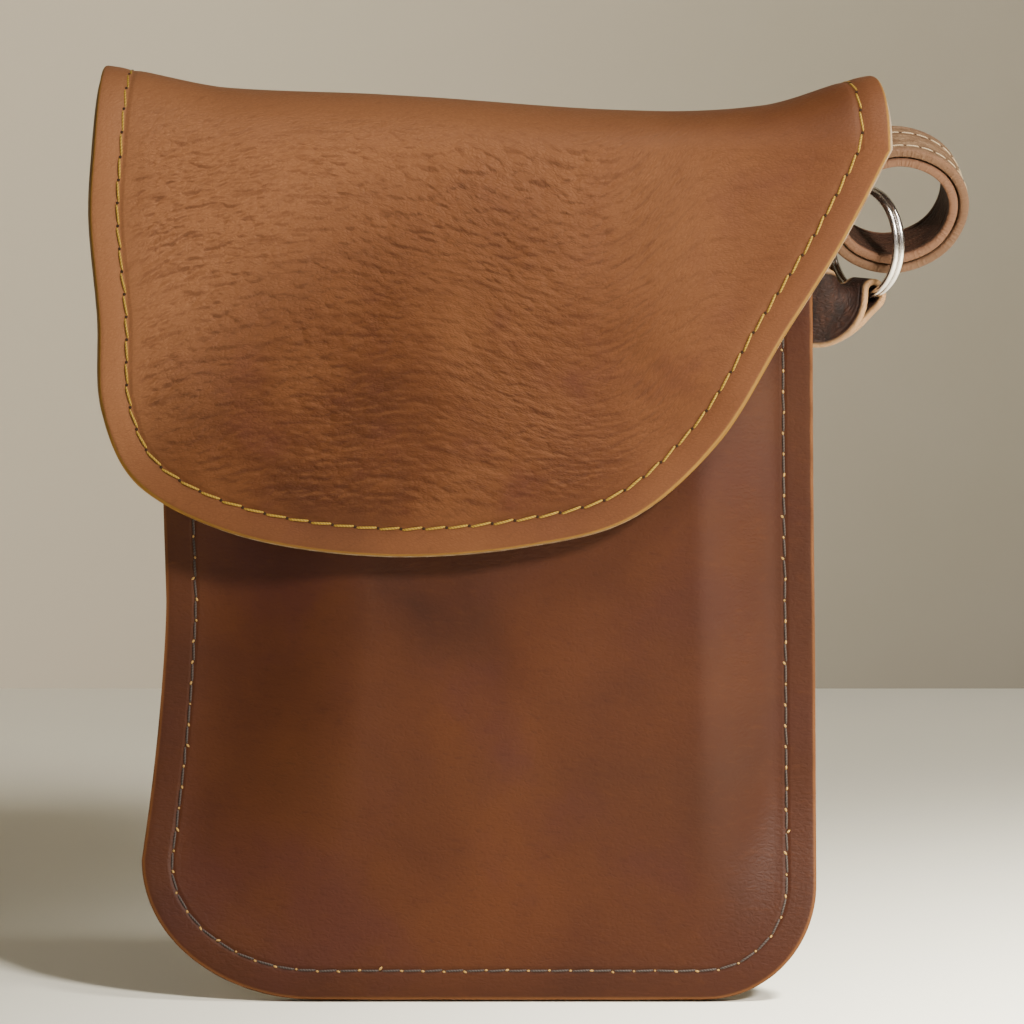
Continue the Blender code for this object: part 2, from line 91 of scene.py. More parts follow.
def spline(points: Sequence[tuple[float, float]], position: Array) -> Array:
    """Read a Catmull-Rom curve.

    Args:
        points: The curve's points.
        position: Where to read it; whole numbers are the points themselves.

    Returns:
        One row of coordinates for each position.
    """
    table = np.array(points, dtype=float)
    position = np.atleast_1d(np.asarray(position, dtype=float))
    last = len(table) - 1
    index = np.clip(position.astype(int), 0, last - 1)
    step = (position - index)[:, None]
    before, here, after, beyond = (table[np.clip(index + k, 0, last)] for k in (-1, 0, 1, 2))
    return 0.5 * (
        2.0 * here + (after - before) * step
        + (2.0 * before - 5.0 * here + 4.0 * after - beyond) * step ** 2
        + (3.0 * here - before - 3.0 * after + beyond) * step ** 3)


def evenly(points: Array, spacing: float) -> Array:
    """Respace a route so that its points are about `spacing` apart."""
    length = np.concatenate([[0.0], np.cumsum(np.linalg.norm(np.diff(points[:, :3], axis=0), axis=1))])
    stops = np.linspace(0.0, length[-1], max(2, round(length[-1] / spacing) + 1))
    return rows(*(np.interp(stops, length, points[:, k]) for k in range(points.shape[1])))


def rows(*columns: Array) -> Array:
    """Set columns of numbers side by side, so that each point has a row."""
    return np.stack(columns, axis=1)


def unit(vectors: Array) -> Array:
    """Make every row one long."""
    return vectors / np.linalg.norm(vectors, axis=1, keepdims=True)


def inset(points: Array, distance: float) -> Array:
    """Move an open flat outline to the left of its direction by a distance."""
    run = np.gradient(points, axis=0)
    normal = rows(-run[:, 1], run[:, 0])
    return points + distance * normal / np.linalg.norm(normal, axis=1, keepdims=True)


class Roughcast:
    """Smooth seeded noise over a plane, for the leather's dents and folds."""

    SIZE = 64

    def __init__(self, seed: int) -> None:
        """Fill the table of heights from the seed."""
        self.table = np.random.default_rng(seed).uniform(-1.0, 1.0, (self.SIZE, self.SIZE))

    def __call__(self, x: Array, y: Array) -> Array:
        """Height between -1 and 1 at each place."""
        left, low = np.floor(x).astype(int), np.floor(y).astype(int)
        across, up = x - left, y - low
        across, up = (k * k * k * (k * (k * 6 - 15) + 10) for k in (across, up))
        corner = [[self.table[(left + i) % self.SIZE, (low + j) % self.SIZE] for j in (0, 1)] for i in (0, 1)]
        bottom = corner[0][0] * (1 - across) + corner[1][0] * across
        top = corner[0][1] * (1 - across) + corner[1][1] * across
        return bottom * (1 - up) + top * up


# The pouch's pattern: every surface that leather, thread or hardware lies on
# ---------------------------------------------------------------------------

@dataclass
class Pattern:
    """The pouch's sizes, and the surfaces that they give."""

    gap: float = 0.3
    panel: float = 2.0
    body_top: float = 145.0
    waist: float = 55.2
    waist_height: float = 70.0
    flare: float = 4.4
    top_flare: float = 2.0
    right: float = 59.2
    right_taper: float = 1.2
    left_corner: tuple[float, float] = (31.0, 24.0)
    right_corner: tuple[float, float] = (20.0, 20.0)
    seam_margin: float = 6.0
    shoulders: tuple[float, float] = (30.0, 15.0)
    foot: float = 46.0
    front_bulge: float = 7.5
    deepest_dent: float = 0.3
    back_bulge: float = 3.0
    lean: float = 7.5
    lean_start: float = 2.0
    lean_height: float = 40.0
    tuck: float = 0.6
    tuck_start: float = 108.0
    leather: float = 1.8
    lining: float = 1.2
    flap_y: float = -9.5
    side_curl: float = 4.2
    curl_reach: float = 68.0
    curl_foot: float = 70.0
    tail_width: float = 56.0
    tail_bottom: float = 127.0
    fold: float = 146.0
    bend: float = 150.0
    arc: float = 34.0
    crown_flare: tuple[float, float] = (9.6, 12.2)
    flare_end: float = 0.45
    crown_spread: tuple[float, float] = (1.8, 3.4)
    crown_swell: float = 0.9
    stitch_margin: float = 5.2
    stitch: float = 4.0
    tab_height: float = 118.0
    tab_room: float = 4.1
    tab_reach: float = 20.0
    tab_side: tuple[float, float] = (30.0, 48.0)
    peaks: tuple = ((-66.0, 164.2), (-45.0, 160.3), (-15.0, 158.9), (28.0, 156.2), (50.0, 157.2), (68.0, 162.3))
    outline: tuple = (
        (-67.4, 150.0), (-68.0, 138.0), (-66.6, 121.0), (-66.0, 104.5), (-59.4, 91.2), (-42.0, 82.4),
        (-17.0, 78.9), (8.0, 80.6), (27.0, 85.8), (42.0, 99.4), (53.4, 118.0), (63.0, 133.5), (71.6, 150.0))
    left_turn: int = 4
    right_turn: int = 9

    def __post_init__(self) -> None:
        """Work out the levels that follow from the sizes, and seed the dents."""
        self.front_seam = -(self.panel + self.gap)
        self.lining_offset = self.leather / 2 + self.gap + self.lining / 2
        self.tail_standoff = self.panel / 2 + self.gap + self.leather / 2
        self.tail_y = self.lean + self.back_bulge + self.tail_standoff
        self.middle_y = (self.tail_y + self.flap_y) / 2
        self.dents, self.ripples, self.creases = Roughcast(7), Roughcast(19), Roughcast(5)

    def corner_inset(self, z: Array, radii: tuple[float, float]) -> Array:
        """How far a rounded bottom corner lies inside the straight side at a height."""
        drop = np.clip(1.0 - z / radii[1], 0.0, 1.0)
        return radii[0] * (1.0 - np.sqrt(1.0 - drop ** 2))

    def body_sides(self, z: Array) -> tuple[Array, Array]:
        """The body's left and right X at a height."""
        z = np.asarray(z, dtype=float)
        below = np.clip((self.waist_height - z) / (self.waist_height - self.left_corner[1]), 0.0, 1.0)
        above = np.clip((z - self.waist_height) / (self.body_top - self.waist_height), 0.0, None)
        left = -(self.waist + self.flare * below ** 1.5 + self.top_flare * above)
        right = self.right - self.right_taper * ease(self.left_corner[1], self.body_top, z)
        return left + self.corner_inset(z, self.left_corner), right - self.corner_inset(z, self.right_corner)

    def fullness(self, x: Array, z: Array) -> Array:
        """How far a panel has risen from its seam: 0 along it, 1 in the middle."""
        left, right = self.body_sides(z)
        across = ease(0.0, self.shoulders[0], x - left - self.seam_margin)
        across = across * ease(0.0, self.shoulders[1], right - x - self.seam_margin)
        return across * ease(self.seam_margin, self.foot, z)

    def body_dent(self, x: Array, z: Array) -> Array:
        """Soft dents of the filled body, none along the seam."""
        soft = 0.55 * self.dents(x / 36.0 + 9.0, z / 30.0) + 0.22 * self.ripples(x / 13.0, z / 15.0 + 4.0)
        return soft * self.fullness(x, z)

    def setback(self, z: Array) -> Array:
        """How far the body stands back from the foot of its seam at a height."""
        return self.lean * ease(self.lean_start, self.lean_height, z)

    def front_surface(self, x: Array, z: Array) -> Array:
        """The front panel's middle surface."""
        room = self.tab_room * np.exp(-((z - self.tab_height) / self.tab_reach) ** 2) * ease(*self.tab_side, x)
        dent = np.maximum(self.body_dent(x, z), -self.deepest_dent)
        bulge = self.front_bulge * self.fullness(x, z) + room + dent
        return self.front_seam + self.setback(z) - bulge

    def back_surface(self, x: Array, z: Array) -> Array:
        """The back panel's middle surface."""
        tuck = self.tuck * ease(self.tuck_start, self.body_top, z)
        return self.setback(z) + (self.back_bulge - tuck) * self.fullness(x, z)

    def flap_dent(self, x: Array, v: Array) -> Array:
        """Soft dents of the flap, the same in its leather and its lining."""
        calm = 1.0 - ease(4.0, 16.0, v)
        return calm * (0.55 * self.dents(x / 34.0, v / 26.0 + 3.0) + 0.18 * self.ripples(x / 12.0 + 5.0, v / 9.0))

    def flap_surface(self, across: Array, course: Array, inward: Array = 0.0) -> Array:
        """A point of the whole flap.

        Args:
            across: 0 at the left edge and 1 at the right.
            course: -1 at the front's bottom edge, 0 at the bend, 1 at the rear fold, 2 at the tail's edge.
            inward: Depth below the outer leather's middle surface.

        Returns:
            One row of X, Y and Z for each point.
        """
        across, course = np.asarray(across, dtype=float), np.asarray(course, dtype=float)
        inward = np.broadcast_to(np.asarray(inward, dtype=float), across.shape)
        return np.where((course < 0.0)[:, None], self.front_part(across, np.clip(-course, 0, 1), inward),
                        np.where((course <= 1.0)[:, None], self.crown_part(across, 1 - np.clip(course, 0, 1), inward),
                                 self.tail_part(across, np.clip(course - 1, 0, 1), inward)))

    def front_part(self, across: Array, down: Array, inward: Array) -> Array:
        """A point of the flap's front."""
        last = len(self.outline) - 1
        left = spline(self.outline, self.left_turn * down)
        right = spline(self.outline, last - (last - self.right_turn) * down)
        bottom = spline(self.outline, self.left_turn + (self.right_turn - self.left_turn) * across)
        corner = [np.array(self.outline[k]) for k in (0, last, self.left_turn, self.right_turn)]
        s, t = across[:, None], down[:, None]
        top = corner[0] + (corner[1] - corner[0]) * s
        mix = (corner[0] * (1 - s) + corner[1] * s) * (1 - t) + (corner[2] * (1 - s) + corner[3] * s) * t
        x, z = (top * (1 - t) + bottom * t + left * (1 - s) + right * s - mix).T
        return rows(x, self.front_level(x, z) + inward, z)

    def front_level(self, x: Array, z: Array) -> Array:
        """The Y of the flap front's outer leather."""
        curl = self.side_curl * (x / self.curl_reach) ** 2 * ease(self.bend, self.curl_foot, z)
        return self.flap_y + curl - self.flap_dent(x, z - self.bend)

    def crown_sides(self, turn: Array) -> tuple[Array, Array]:
        """The crown's left and right X: `turn` is 0 at the rear fold and 1 at the bend."""
        flare = ease(0.0, self.flare_end, turn)
        spread = np.clip(turn - self.flare_end, 0.0, None) / (1.0 - self.flare_end)
        swell = self.crown_swell * np.sin(np.pi * np.clip(spread, 0.0, 1.0))
        left, right = (self.tail_width + by * flare + more * spread
                       for by, more in zip(self.crown_flare, self.crown_spread))
        return -left, right + swell

    def crown_part(self, across: Array, turn: Array, inward: Array) -> Array:
        """A point of the crown."""
        left, right = self.crown_sides(turn)
        x = left + (right - left) * across
        knots = np.array(self.peaks)[:, 0]
        index = np.clip(np.searchsorted(knots, x) - 1, 0, len(knots) - 2)
        step = np.clip((x - knots[index]) / (knots[index + 1] - knots[index]), 0.0, 1.0)
        peak = spline(self.peaks, index + step)[:, 1]
        angle = np.pi * turn
        depth = (self.tail_y - self.flap_y) / 2 - inward
        base = self.fold + (self.bend - self.fold) * turn
        rise = peak - self.leather / 2 - (self.fold + self.bend) / 2 - inward
        settle = self.flap_dent(x, np.zeros_like(x)) * ease(0.55, 1.0, turn)
        return rows(x, self.middle_y + depth * np.cos(angle) - settle, base + rise * np.sin(angle))

    def tail_part(self, across: Array, down: Array, inward: Array) -> Array:
        """A point of the tail, sewn to the back panel."""
        x = self.tail_width * (2.0 * across - 1.0)
        z = self.fold + (self.tail_bottom - self.fold) * down
        follow = self.back_surface(x, z) + self.tail_standoff
        y = follow + (self.tail_y - follow) * ease(self.tail_bottom + 3.0, self.fold - 2.0, z)
        return rows(x, y - inward, z)

    def flap_run(self, points: Array, course: Array) -> Array:
        """The flap's length along its course, 0 at the bend, less in front and more behind."""
        front = points[:, 2] - self.bend
        tail = self.arc + (self.fold - points[:, 2])
        return np.where(course < 0.0, front, np.where(course <= 1.0, self.arc * course, tail))

    def flap_edge(self) -> Array:
        """The flap front's outline, finely."""
        return spline(self.outline, np.linspace(0.0, len(self.outline) - 1, 700))

    def body_edge(self) -> Array:
        """The body's outline from the left of the mouth round the bottom to the right, finely."""
        heights = self.body_top * (1 - np.linspace(0, 1, 320)) ** 1.7
        left = rows(self.body_sides(heights)[0], heights)
        right = rows(self.body_sides(heights[::-1])[1], heights[::-1])
        flat = np.linspace(left[-1, 0], right[0, 0], 180)[1:-1]
        return np.concatenate([left, rows(flat, np.zeros_like(flat)), right])


def clearance_from(points: Array, outline: Array) -> Array:
    """The distance from each flat point to an outline."""
    tree = KDTree(len(outline))
    for index, (x, z) in enumerate(outline):
        tree.insert((x, z, 0.0), index)
    tree.balance()
    return np.array([tree.find((x, z, 0.0))[2] for x, z in points])


# Shader writing
# --------------

Number = Union[float, int, "Reading"]


class Reading:
    """A number that a node gives; arithmetic on it adds Math nodes."""

    def __init__(self, recipe: "Recipe", socket: bpy.types.NodeSocket) -> None:
        """Wrap a node's output."""
        self.recipe, self.socket = recipe, socket

    def _math(self, operation: str, first: Number, second: Number) -> "Reading":
        """Add a Math node over two numbers."""
        made = self.recipe.node("ShaderNodeMath", {"operation": operation}, {0: first, 1: second})
        return Reading(self.recipe, made.outputs[0])

    def __add__(self, other: Number) -> "Reading":
        """Sum."""
        return self._math("ADD", self, other)

    def __sub__(self, other: Number) -> "Reading":
        """Difference."""
        return self._math("SUBTRACT", self, other)

    def __rsub__(self, other: Number) -> "Reading":
        """Difference from a plain number."""
        return self._math("SUBTRACT", other, self)

    def __mul__(self, other: Number) -> "Reading":
        """Product."""
        return self._math("MULTIPLY", self, other)

    def __pow__(self, other: Number) -> "Reading":
        """Power."""
        return self._math("POWER", self, other)

    __radd__, __rmul__ = __add__, __mul__

    def between(self, low: float, high: float) -> "Reading":
        """A smooth step from 0 at low to 1 at high."""
        made = self.recipe.node("ShaderNodeMapRange", {"interpolation_type": "SMOOTHSTEP"},
                                {0: self, 1: low, 2: high, 3: 0.0, 4: 1.0})
        return Reading(self.recipe, made.outputs[0])

    def at(self, place: float, width: float) -> "Reading":
        """A smooth ridge, 1 at a place and 0 a width away from it."""
        away = self._math("ABSOLUTE", self - place, 0.0)
        return 1 - away.between(0.0, width)


class Recipe:
    """One material's node tree, written step by step."""

    def __init__(self, name: str, roughness: float = 0.6, metallic: float = 0.0, specular: float = 0.5) -> None:
        """Start from a Principled shader."""
        self.material = bpy.data.materials.new(name)
        self.material.use_nodes = True
        self.tree = self.material.node_tree
        self.shader = self.tree.nodes["Principled BSDF"]
        self.shader.inputs["Roughness"].default_value = roughness
        self.shader.inputs["Metallic"].default_value = metallic
        self.shader.inputs["Specular IOR Level"].default_value = specular

    def node(self, kind: str, settings: dict[str, Any], sockets: dict[Union[int, str], Any]) -> bpy.types.Node:
        """Add a node.

        Args:
            kind: The node's type.
            settings: Its properties, set before its sockets.
            sockets: A value, a Reading or an output for each input, by name or place.

        Returns:
            The node.
        """
        made = self.tree.nodes.new(kind)
        for key, value in settings.items():
            setattr(made, key, value)
        for key, value in sockets.items():
            if isinstance(value, Reading):
                value = value.socket
            if isinstance(value, bpy.types.NodeSocket):
                self.tree.links.new(value, made.inputs[key])
            else:
                made.inputs[key].default_value = value
        return made

    def place(self, on_surface: bool = True) -> Any:
        """Coordinates on the leather's own map, or in the object's metres."""
        return self.node("ShaderNodeTexCoord", {}, {}).outputs["UV" if on_surface else "Object"]

    def part(self, vector: Any, axis: int) -> Reading:
        """One coordinate of a vector."""
        return Reading(self, self.node("ShaderNodeSeparateXYZ", {}, {0: vector}).outputs[axis])

    def join(self, x: Number, y: Number, z: Number = 0.0) -> Any:
        """A vector from its coordinates."""
        return self.node("ShaderNodeCombineXYZ", {}, {0: x, 1: y, 2: z}).outputs[0]

    def stir(self, vector: Any, scale: float, amount: float) -> Any:
        """Shift coordinates by a soft noise."""
        swirl = self.node("ShaderNodeTexNoise", {}, {"Vector": vector, "Scale": scale, "Detail": 2.0})
        shift = self.node("ShaderNodeVectorMath", {"operation": "MULTIPLY_ADD"},
                          {0: swirl.outputs["Color"], 1: (amount,) * 3, 2: vector})
        return shift.outputs[0]

    def noise(self, vector: Any, scale: float, detail: float = 4.0, roughness: float = 0.5) -> Reading:
        """A soft noise between 0 and 1."""
        made = self.node("ShaderNodeTexNoise", {}, {"Vector": vector, "Scale": scale, "Detail": detail,
                                                    "Roughness": roughness})
        return Reading(self, made.outputs[0])

    def cells(self, vector: Any, scale: float, feature: str = "DISTANCE_TO_EDGE") -> Reading:
        """The distance to the nearest crack, or point, of a pattern of cells."""
        made = self.node("ShaderNodeTexVoronoi", {"feature": feature}, {"Vector": vector, "Scale": scale})
        return Reading(self, made.outputs["Distance"])

    def stored(self, name: str) -> Reading:
        """A number stored on the mesh."""
        return Reading(self, self.node("ShaderNodeAttribute", {"attribute_name": name}, {}).outputs["Fac"])

    def ramp(self, factor: Reading, stops: Sequence[tuple[float, Colour]]) -> Any:
        """A colour read from a ramp."""
        made = self.node("ShaderNodeValToRGB", {}, {0: factor})
        elements = made.color_ramp.elements
        while len(elements) < len(stops):
            elements.new(0.5)
        for element, (place, colour) in zip(elements, stops):
            element.position, element.color = place, (*colour, 1.0)
        return made.outputs[0]

    def mix(self, factor: Number, first: Any, second: Any) -> Any:
        """Mix two colours."""
        first, second = ((*c, 1.0) if isinstance(c, tuple) else c for c in (first, second))
        return self.node("ShaderNodeMix", {"data_type": "RGBA"}, {0: factor, 6: first, 7: second}).outputs[2]

    def coats(self, colour: Any, *coats: tuple[Number, Colour]) -> Any:
        """Lay colours over a first one, each by its own amount."""
        for amount, tint in coats:
            colour = self.mix(amount, colour, tint)
        return colour

    def finish(self, colour: Any, roughness: Any = None, height: Any = None, depth: float = 0.1) -> Material:
        """Link what changes over the surface.

        Args:
            colour: Base colour.
            roughness: A Reading for roughness.
            height: A Reading for the bump, 0 to 1.
            depth: What a height of 1 stands for, in millimetres.

        Returns:
            The material.
        """
        self.tree.links.new(colour, self.shader.inputs["Base Color"])
        if roughness is not None:
            self.tree.links.new(roughness.socket, self.shader.inputs["Roughness"])
        if height is not None:
            bump = self.node("ShaderNodeBump", {}, {"Height": height, "Distance": depth * MM, "Strength": 1.0})
            self.tree.links.new(bump.outputs[0], self.shader.inputs["Normal"])
        return self.material


# Finishes
# --------

@dataclass(frozen=True)
class PebbledHide:
    """Pull-up leather with soft elongated pebbles, for the flap; its colour also holds painted light: a painted sheen
    on the upper left, painted highlights and shade on the slopes of the pebbles and folds, and painted shade towards
    the right.
    """

    sheen: Colour = (0.200, 0.084, 0.036)
    light: Colour = (0.106, 0.039, 0.013)
    middle: Colour = (0.065, 0.0200, 0.0052)
    deep: Colour = (0.034, 0.0088, 0.0024)
    plum: Colour = (0.055, 0.0142, 0.0090)
    margin: Colour = (0.135, 0.052, 0.021)
    raw: Colour = (0.17, 0.085, 0.014)

    def make(self) -> Material:
        """Write the material."""
        r = Recipe("flap_hide", specular=0.12)
        here = r.place()
        u, v, edge = r.part(here, 0), r.part(here, 1), r.stored("edge")
        low = 1 - v.between(-0.62, -0.40)
        bow = (u + 0.26) * (u + 0.26) * 0.65
        arch = bow * (1 - u.between(0.12, 0.42) * 1.2) * (1 - low * 0.6)
        course = v + arch * 0.8 + (r.noise(here, 2.6, 1.0) - 0.5) * 0.10

        def grain(shift: float) -> Reading:
            """The pebbles' height, read a little way along the leather."""
            spot = r.stir(r.join(u * 0.5, course + shift), 34.0, 0.010)
            return r.noise(spot, 78.0, 1.0, 0.5) * 0.8 - r.cells(spot, 80.0, "F1") ** 2.0 * 0.42

        def fold(shift: float) -> Reading:
            """The long folds' height."""
            return r.noise(r.join(u * 0.22, course + shift), 38.0, 3.0, 0.6)

        # Painted light and shade: rise and swell are the slopes of the pebbles and folds, which paint their upper
        # sides lighter and their lower sides darker.
        rise = grain(-0.0028) - grain(0.0028)
        swell = fold(-0.004) - fold(0.004)
        pebbles = r.cells(r.stir(r.join(u * 0.5, course), 60.0, 0.006), 215.0).between(0.0, 0.35)
        lines = r.noise(r.join(u * 0.35, course - u * 0.5), 120.0, 3.0, 0.6)
        pores = r.noise(here, 420.0, 2.0, 0.7)
        inside = edge.between(4.6, 10.0)
        calm_top = 1 - v.between(-0.06, 0.12)
        wrinkled = r.noise(here, 4.5, 3.0).between(0.33, 0.62)
        left = 1 - u.between(0.05, 0.50)
        depth = inside * calm_top * (wrinkled * 0.45 + 0.55) * (left * 0.7 + 0.3)
        long = inside * calm_top * (left * 0.6 + 0.25) * (low * 0.55 + 0.45)
        cloud = r.noise(r.stir(here, 3.0, 0.2), 3.2, 5.0, 0.55)
        blush = r.noise(here, 6.5, 4.0, 0.6).between(0.50, 0.72)
        colour = r.ramp(cloud, [(0.30, self.deep), (0.47, self.middle), (0.68, self.light)])
        colour = r.coats(
            colour,
            (blush * 0.5, self.plum),
            ((1 - edge.between(1.0, 9.0)) * 0.5, self.margin))
        # Painted sheen: the flap's upper left is painted lighter, a painted highlight where the light falls.
        off_middle = (u + 0.02) * (u + 0.02) * 1.3
        painted_sheen_mask = (v + off_middle).between(-0.30, 0.10) * (1 - u.between(0.10, 0.66) * 0.85)
        colour = r.coats(
            colour,
            (painted_sheen_mask * 0.75, self.sheen),
            # Painted shade: the flap's colour is darker towards the right.
            (u.between(-0.25, 0.35) * 0.35, self.deep),
            # Painted highlights and painted shade on the slopes of the pebbles and folds.
            (rise.between(0.0, 0.28) * depth * 0.55, self.light),
            ((1 - rise.between(-0.28, 0.0)) * depth * 0.60, self.deep),
            (swell.between(0.0, 0.16) * long * 0.35, self.light),
            ((1 - swell.between(-0.16, -0.02)) * long * 0.65, self.deep),
            ((1 - pebbles) * 0.10, self.deep),
            (lines.between(0.55, 0.75) * 0.16, self.light),
            ((1 - lines.between(0.28, 0.45)) * 0.16, self.deep),
            ((1 - edge.between(0.15, 0.5)) * 0.9, self.raw))
        height = grain(0.0) * depth * 0.9 + fold(0.0) * long * 0.9 + pebbles * (depth * 0.08 + 0.05)
        height = height + lines * 0.12 + pores * 0.07 - edge.at(5.2, 0.9) * 0.35
        roughness = 0.58 + pores * 0.12 - pebbles * 0.04 + (cloud - 0.5) * 0.15
        return r.finish(colour, roughness, height, 0.40)


@dataclass(frozen=True)
class SmoothHide:
    """Smooth waxed leather with clouds of plum and fine pores, for the body; its colour holds a painted shade towards
    the right.
    """

    light: Colour = (0.059, 0.0166, 0.0041)
    middle: Colour = (0.043, 0.0110, 0.0027)
    deep: Colour = (0.024, 0.0054, 0.0013)
    plum: Colour = (0.040, 0.0096, 0.0060)
    raw: Colour = (0.100, 0.036, 0.010)

    def make(self) -> Material:
        """Write the material."""
        r = Recipe("body_hide", specular=0.15)
        here = r.place()
        u, v, edge = r.part(here, 0), r.part(here, 1), r.stored("edge")
        wisps = r.join(u * 0.4, v + u * 0.12)
        lines = r.noise(r.stir(wisps, 20.0, 0.02), 95.0, 4.0, 0.62)
        pores = r.noise(r.join(u * 0.7, v), 330.0, 2.0, 0.6)
        grain = r.cells(r.stir(r.join(u * 0.7, v), 40.0, 0.012), 120.0).between(0.0, 0.35)
        cloud = r.noise(r.stir(here, 2.2, 0.3), 2.4, 5.0, 0.5)
        blush = r.noise(here, 3.3, 4.0, 0.55).between(0.47, 0.66)
        colour = r.ramp(cloud, [(0.30, self.deep), (0.50, self.middle), (0.70, self.light)])
        colour = r.coats(
            colour,
            (blush * 0.6, self.plum),
            # Painted shade: the body's colour is darker towards the right.
            (u.between(0.0, 0.5) * 0.5, self.deep))
        rim = 1 - edge.between(3.5, 7.5)
        colour = r.coats(
            colour,
            (rim * 0.25, self.deep),
            (lines.between(0.52, 0.75) * 0.28, self.light),
            ((1 - lines.between(0.25, 0.45)) * 0.38, self.deep),
            ((1 - pores.between(0.28, 0.40)) * 0.5, self.deep),
            ((1 - edge.between(0.25, 0.75)) * 0.95, self.raw))
        cross = r.noise(r.join(u * 0.25, v), 210.0, 3.0, 0.6) * rim
        height = lines * 0.30 + grain * 0.12 + pores * 0.16 + cross * 0.35 - edge.at(5.2, 0.8) * 0.8
        roughness = 0.50 + pores * 0.12 - cloud * 0.10 + rim * 0.06
        return r.finish(colour, roughness, height, 0.16)


@dataclass(frozen=True)
class Suede:
    """The leather's flesh side, a soft nap with a few scuffs."""

    name: str
    light: Colour = (0.21, 0.135, 0.065)
    deep: Colour = (0.11, 0.060, 0.025)

    def make(self) -> Material:
        """Write the material."""
        r = Recipe(self.name, roughness=0.92, specular=0.15)
        r.shader.inputs["Sheen Weight"].default_value = 0.35
        r.shader.inputs["Sheen Roughness"].default_value = 0.6
        here = r.place(on_surface=False)
        nap = r.noise(here, 2600.0, 3.0, 0.7)
        scuffs = r.noise(r.stir(here, 60.0, 0.01), 85.0, 4.0, 0.6)
        colour = r.ramp(scuffs * 0.75 + nap * 0.25, [(0.34, self.deep), (0.62, self.light)])
        return r.finish(colour, None, nap * 0.6 + scuffs * 0.4, 0.15)


@dataclass(frozen=True)
class RawEdge:
    """A cut edge of leather, with its fibres in layers."""

    name: str
    light: Colour
    deep: Colour

    def make(self) -> Material:
        """Write the material."""
        r = Recipe(self.name, roughness=0.8, specular=0.25)
        here = r.place(on_surface=False)
        fibres = r.noise(here, 1500.0, 3.0, 0.7)
        patches = r.noise(here, 160.0, 3.0)
        colour = r.ramp(fibres * 0.5 + patches * 0.5, [(0.38, self.deep), (0.58, self.light)])
        return r.finish(colour, None, fibres, 0.12)


class Yarn(Enum):
    """The colours of thread."""

    YELLOW = ((0.30, 0.185, 0.016), (0.14, 0.075, 0.005))
    GOLD = ((0.52, 0.32, 0.10), (0.28, 0.15, 0.04))
    BROWN = ((0.055, 0.040, 0.034), (0.018, 0.012, 0.010))
    CREAM = ((0.38, 0.29, 0.18), (0.22, 0.155, 0.09))

    def make(self) -> Material:
        """Write the thread's material, with its strands twisted round it."""
        light, deep = self.value
        r = Recipe(f"{self.name.lower()}_thread", roughness=0.62, specular=0.3)
        here = r.place()
        strands = r.node("ShaderNodeTexWave", {"bands_direction": "DIAGONAL"},
                         {"Vector": here, "Scale": 1.0, "Distortion": 0.6, "Detail": 1.0})
        twist = Reading(r, strands.outputs["Fac"])
        fuzz = r.noise(r.place(on_surface=False), 3000.0, 2.0)
        colour = r.mix(twist * 0.7 + fuzz * 0.3, deep, light)
        return r.finish(colour, None, twist * 0.8 + fuzz * 0.2, 0.06)


@dataclass(frozen=True)
class Shadowed:
    """The dark inside of a stitch hole."""

    colour: Colour = (0.012, 0.007, 0.004)

    def make(self) -> Material:
        """Write the material."""
        r = Recipe("stitch_hole", roughness=0.95, specular=0.1)
        fuzz = r.noise(r.place(on_surface=False), 4000.0, 2.0)
        return r.finish(r.mix(fuzz, self.colour, (0.035, 0.018, 0.010)), None, fuzz, 0.05)


@dataclass(frozen=True)
class Nickel:
    """Bright plated steel, with fine scratches and a little tarnish."""

    name: str = "nickel"
    light: Colour = (0.58, 0.54, 0.51)
    deep: Colour = (0.24, 0.20, 0.19)
    polish: float = 0.12

    def make(self) -> Material:
        """Write the material."""
        r = Recipe(self.name, metallic=1.0)
        here = r.place(on_surface=False)
        tarnish = r.noise(here, 260.0, 4.0, 0.6)
        scratches = r.noise(r.stir(here, 300.0, 0.004), 2200.0, 2.0, 0.6)
        colour = r.mix(tarnish.between(0.45, 0.75), self.light, self.deep)
        roughness = self.polish + tarnish * 0.16 + scratches * 0.10
        return r.finish(colour, roughness, scratches, 0.02)


@dataclass(frozen=True)
class StrapHide:
    """Coarse vegetable-tanned strap leather, rubbed and greyish on its grain side."""

    name: str = "strap_hide"
    light: Colour = (0.185, 0.115, 0.066)
    middle: Colour = (0.118, 0.067, 0.036)
    deep: Colour = (0.052, 0.026, 0.013)
    raw: Colour = (0.095, 0.047, 0.025)

    def make(self) -> Material:
        """Write the material."""
        r = Recipe(self.name, specular=0.16)
        here = r.place()
        edge = r.stored("edge")
        u, v = r.part(here, 0), r.part(here, 1)
        streaks = r.noise(r.join(u * 0.3, v * 1.2), 90.0, 4.0, 0.65)
        grain = r.cells(r.stir(here, 60.0, 0.01), 150.0).between(0.0, 0.4)
        pores = r.noise(here, 500.0, 2.0, 0.6)
        colour = r.ramp(streaks, [(0.32, self.deep), (0.50, self.middle), (0.70, self.light)])
        colour = r.coats(
            colour,
            ((1 - grain) * 0.45, self.deep),
            ((1 - edge.between(0.2, 1.1)) * 0.85, self.raw))
        height = grain * 0.45 + streaks * 0.25 + pores * 0.2 + edge.at(1.5, 0.5) * -0.6
        return r.finish(colour, 0.62 + pores * 0.15 - grain * 0.06, height, 0.18)


# Mesh making
# -----------

def only(obj: Object) -> Object:
    """Select one object and make it active."""
    bpy.ops.object.select_all(action="DESELECT")
    obj.select_set(True)
    bpy.context.view_layer.objects.active = obj
    return obj


def apply_modifier(obj: Object, kind: str, **settings: Any) -> None:
    """Add a modifier with its settings and apply it."""
    only(obj)
    made = obj.modifiers.new(kind.title(), kind)
    for key, value in settings.items():
        setattr(made, key, value)
    bpy.ops.object.modifier_apply(modifier=made.name)


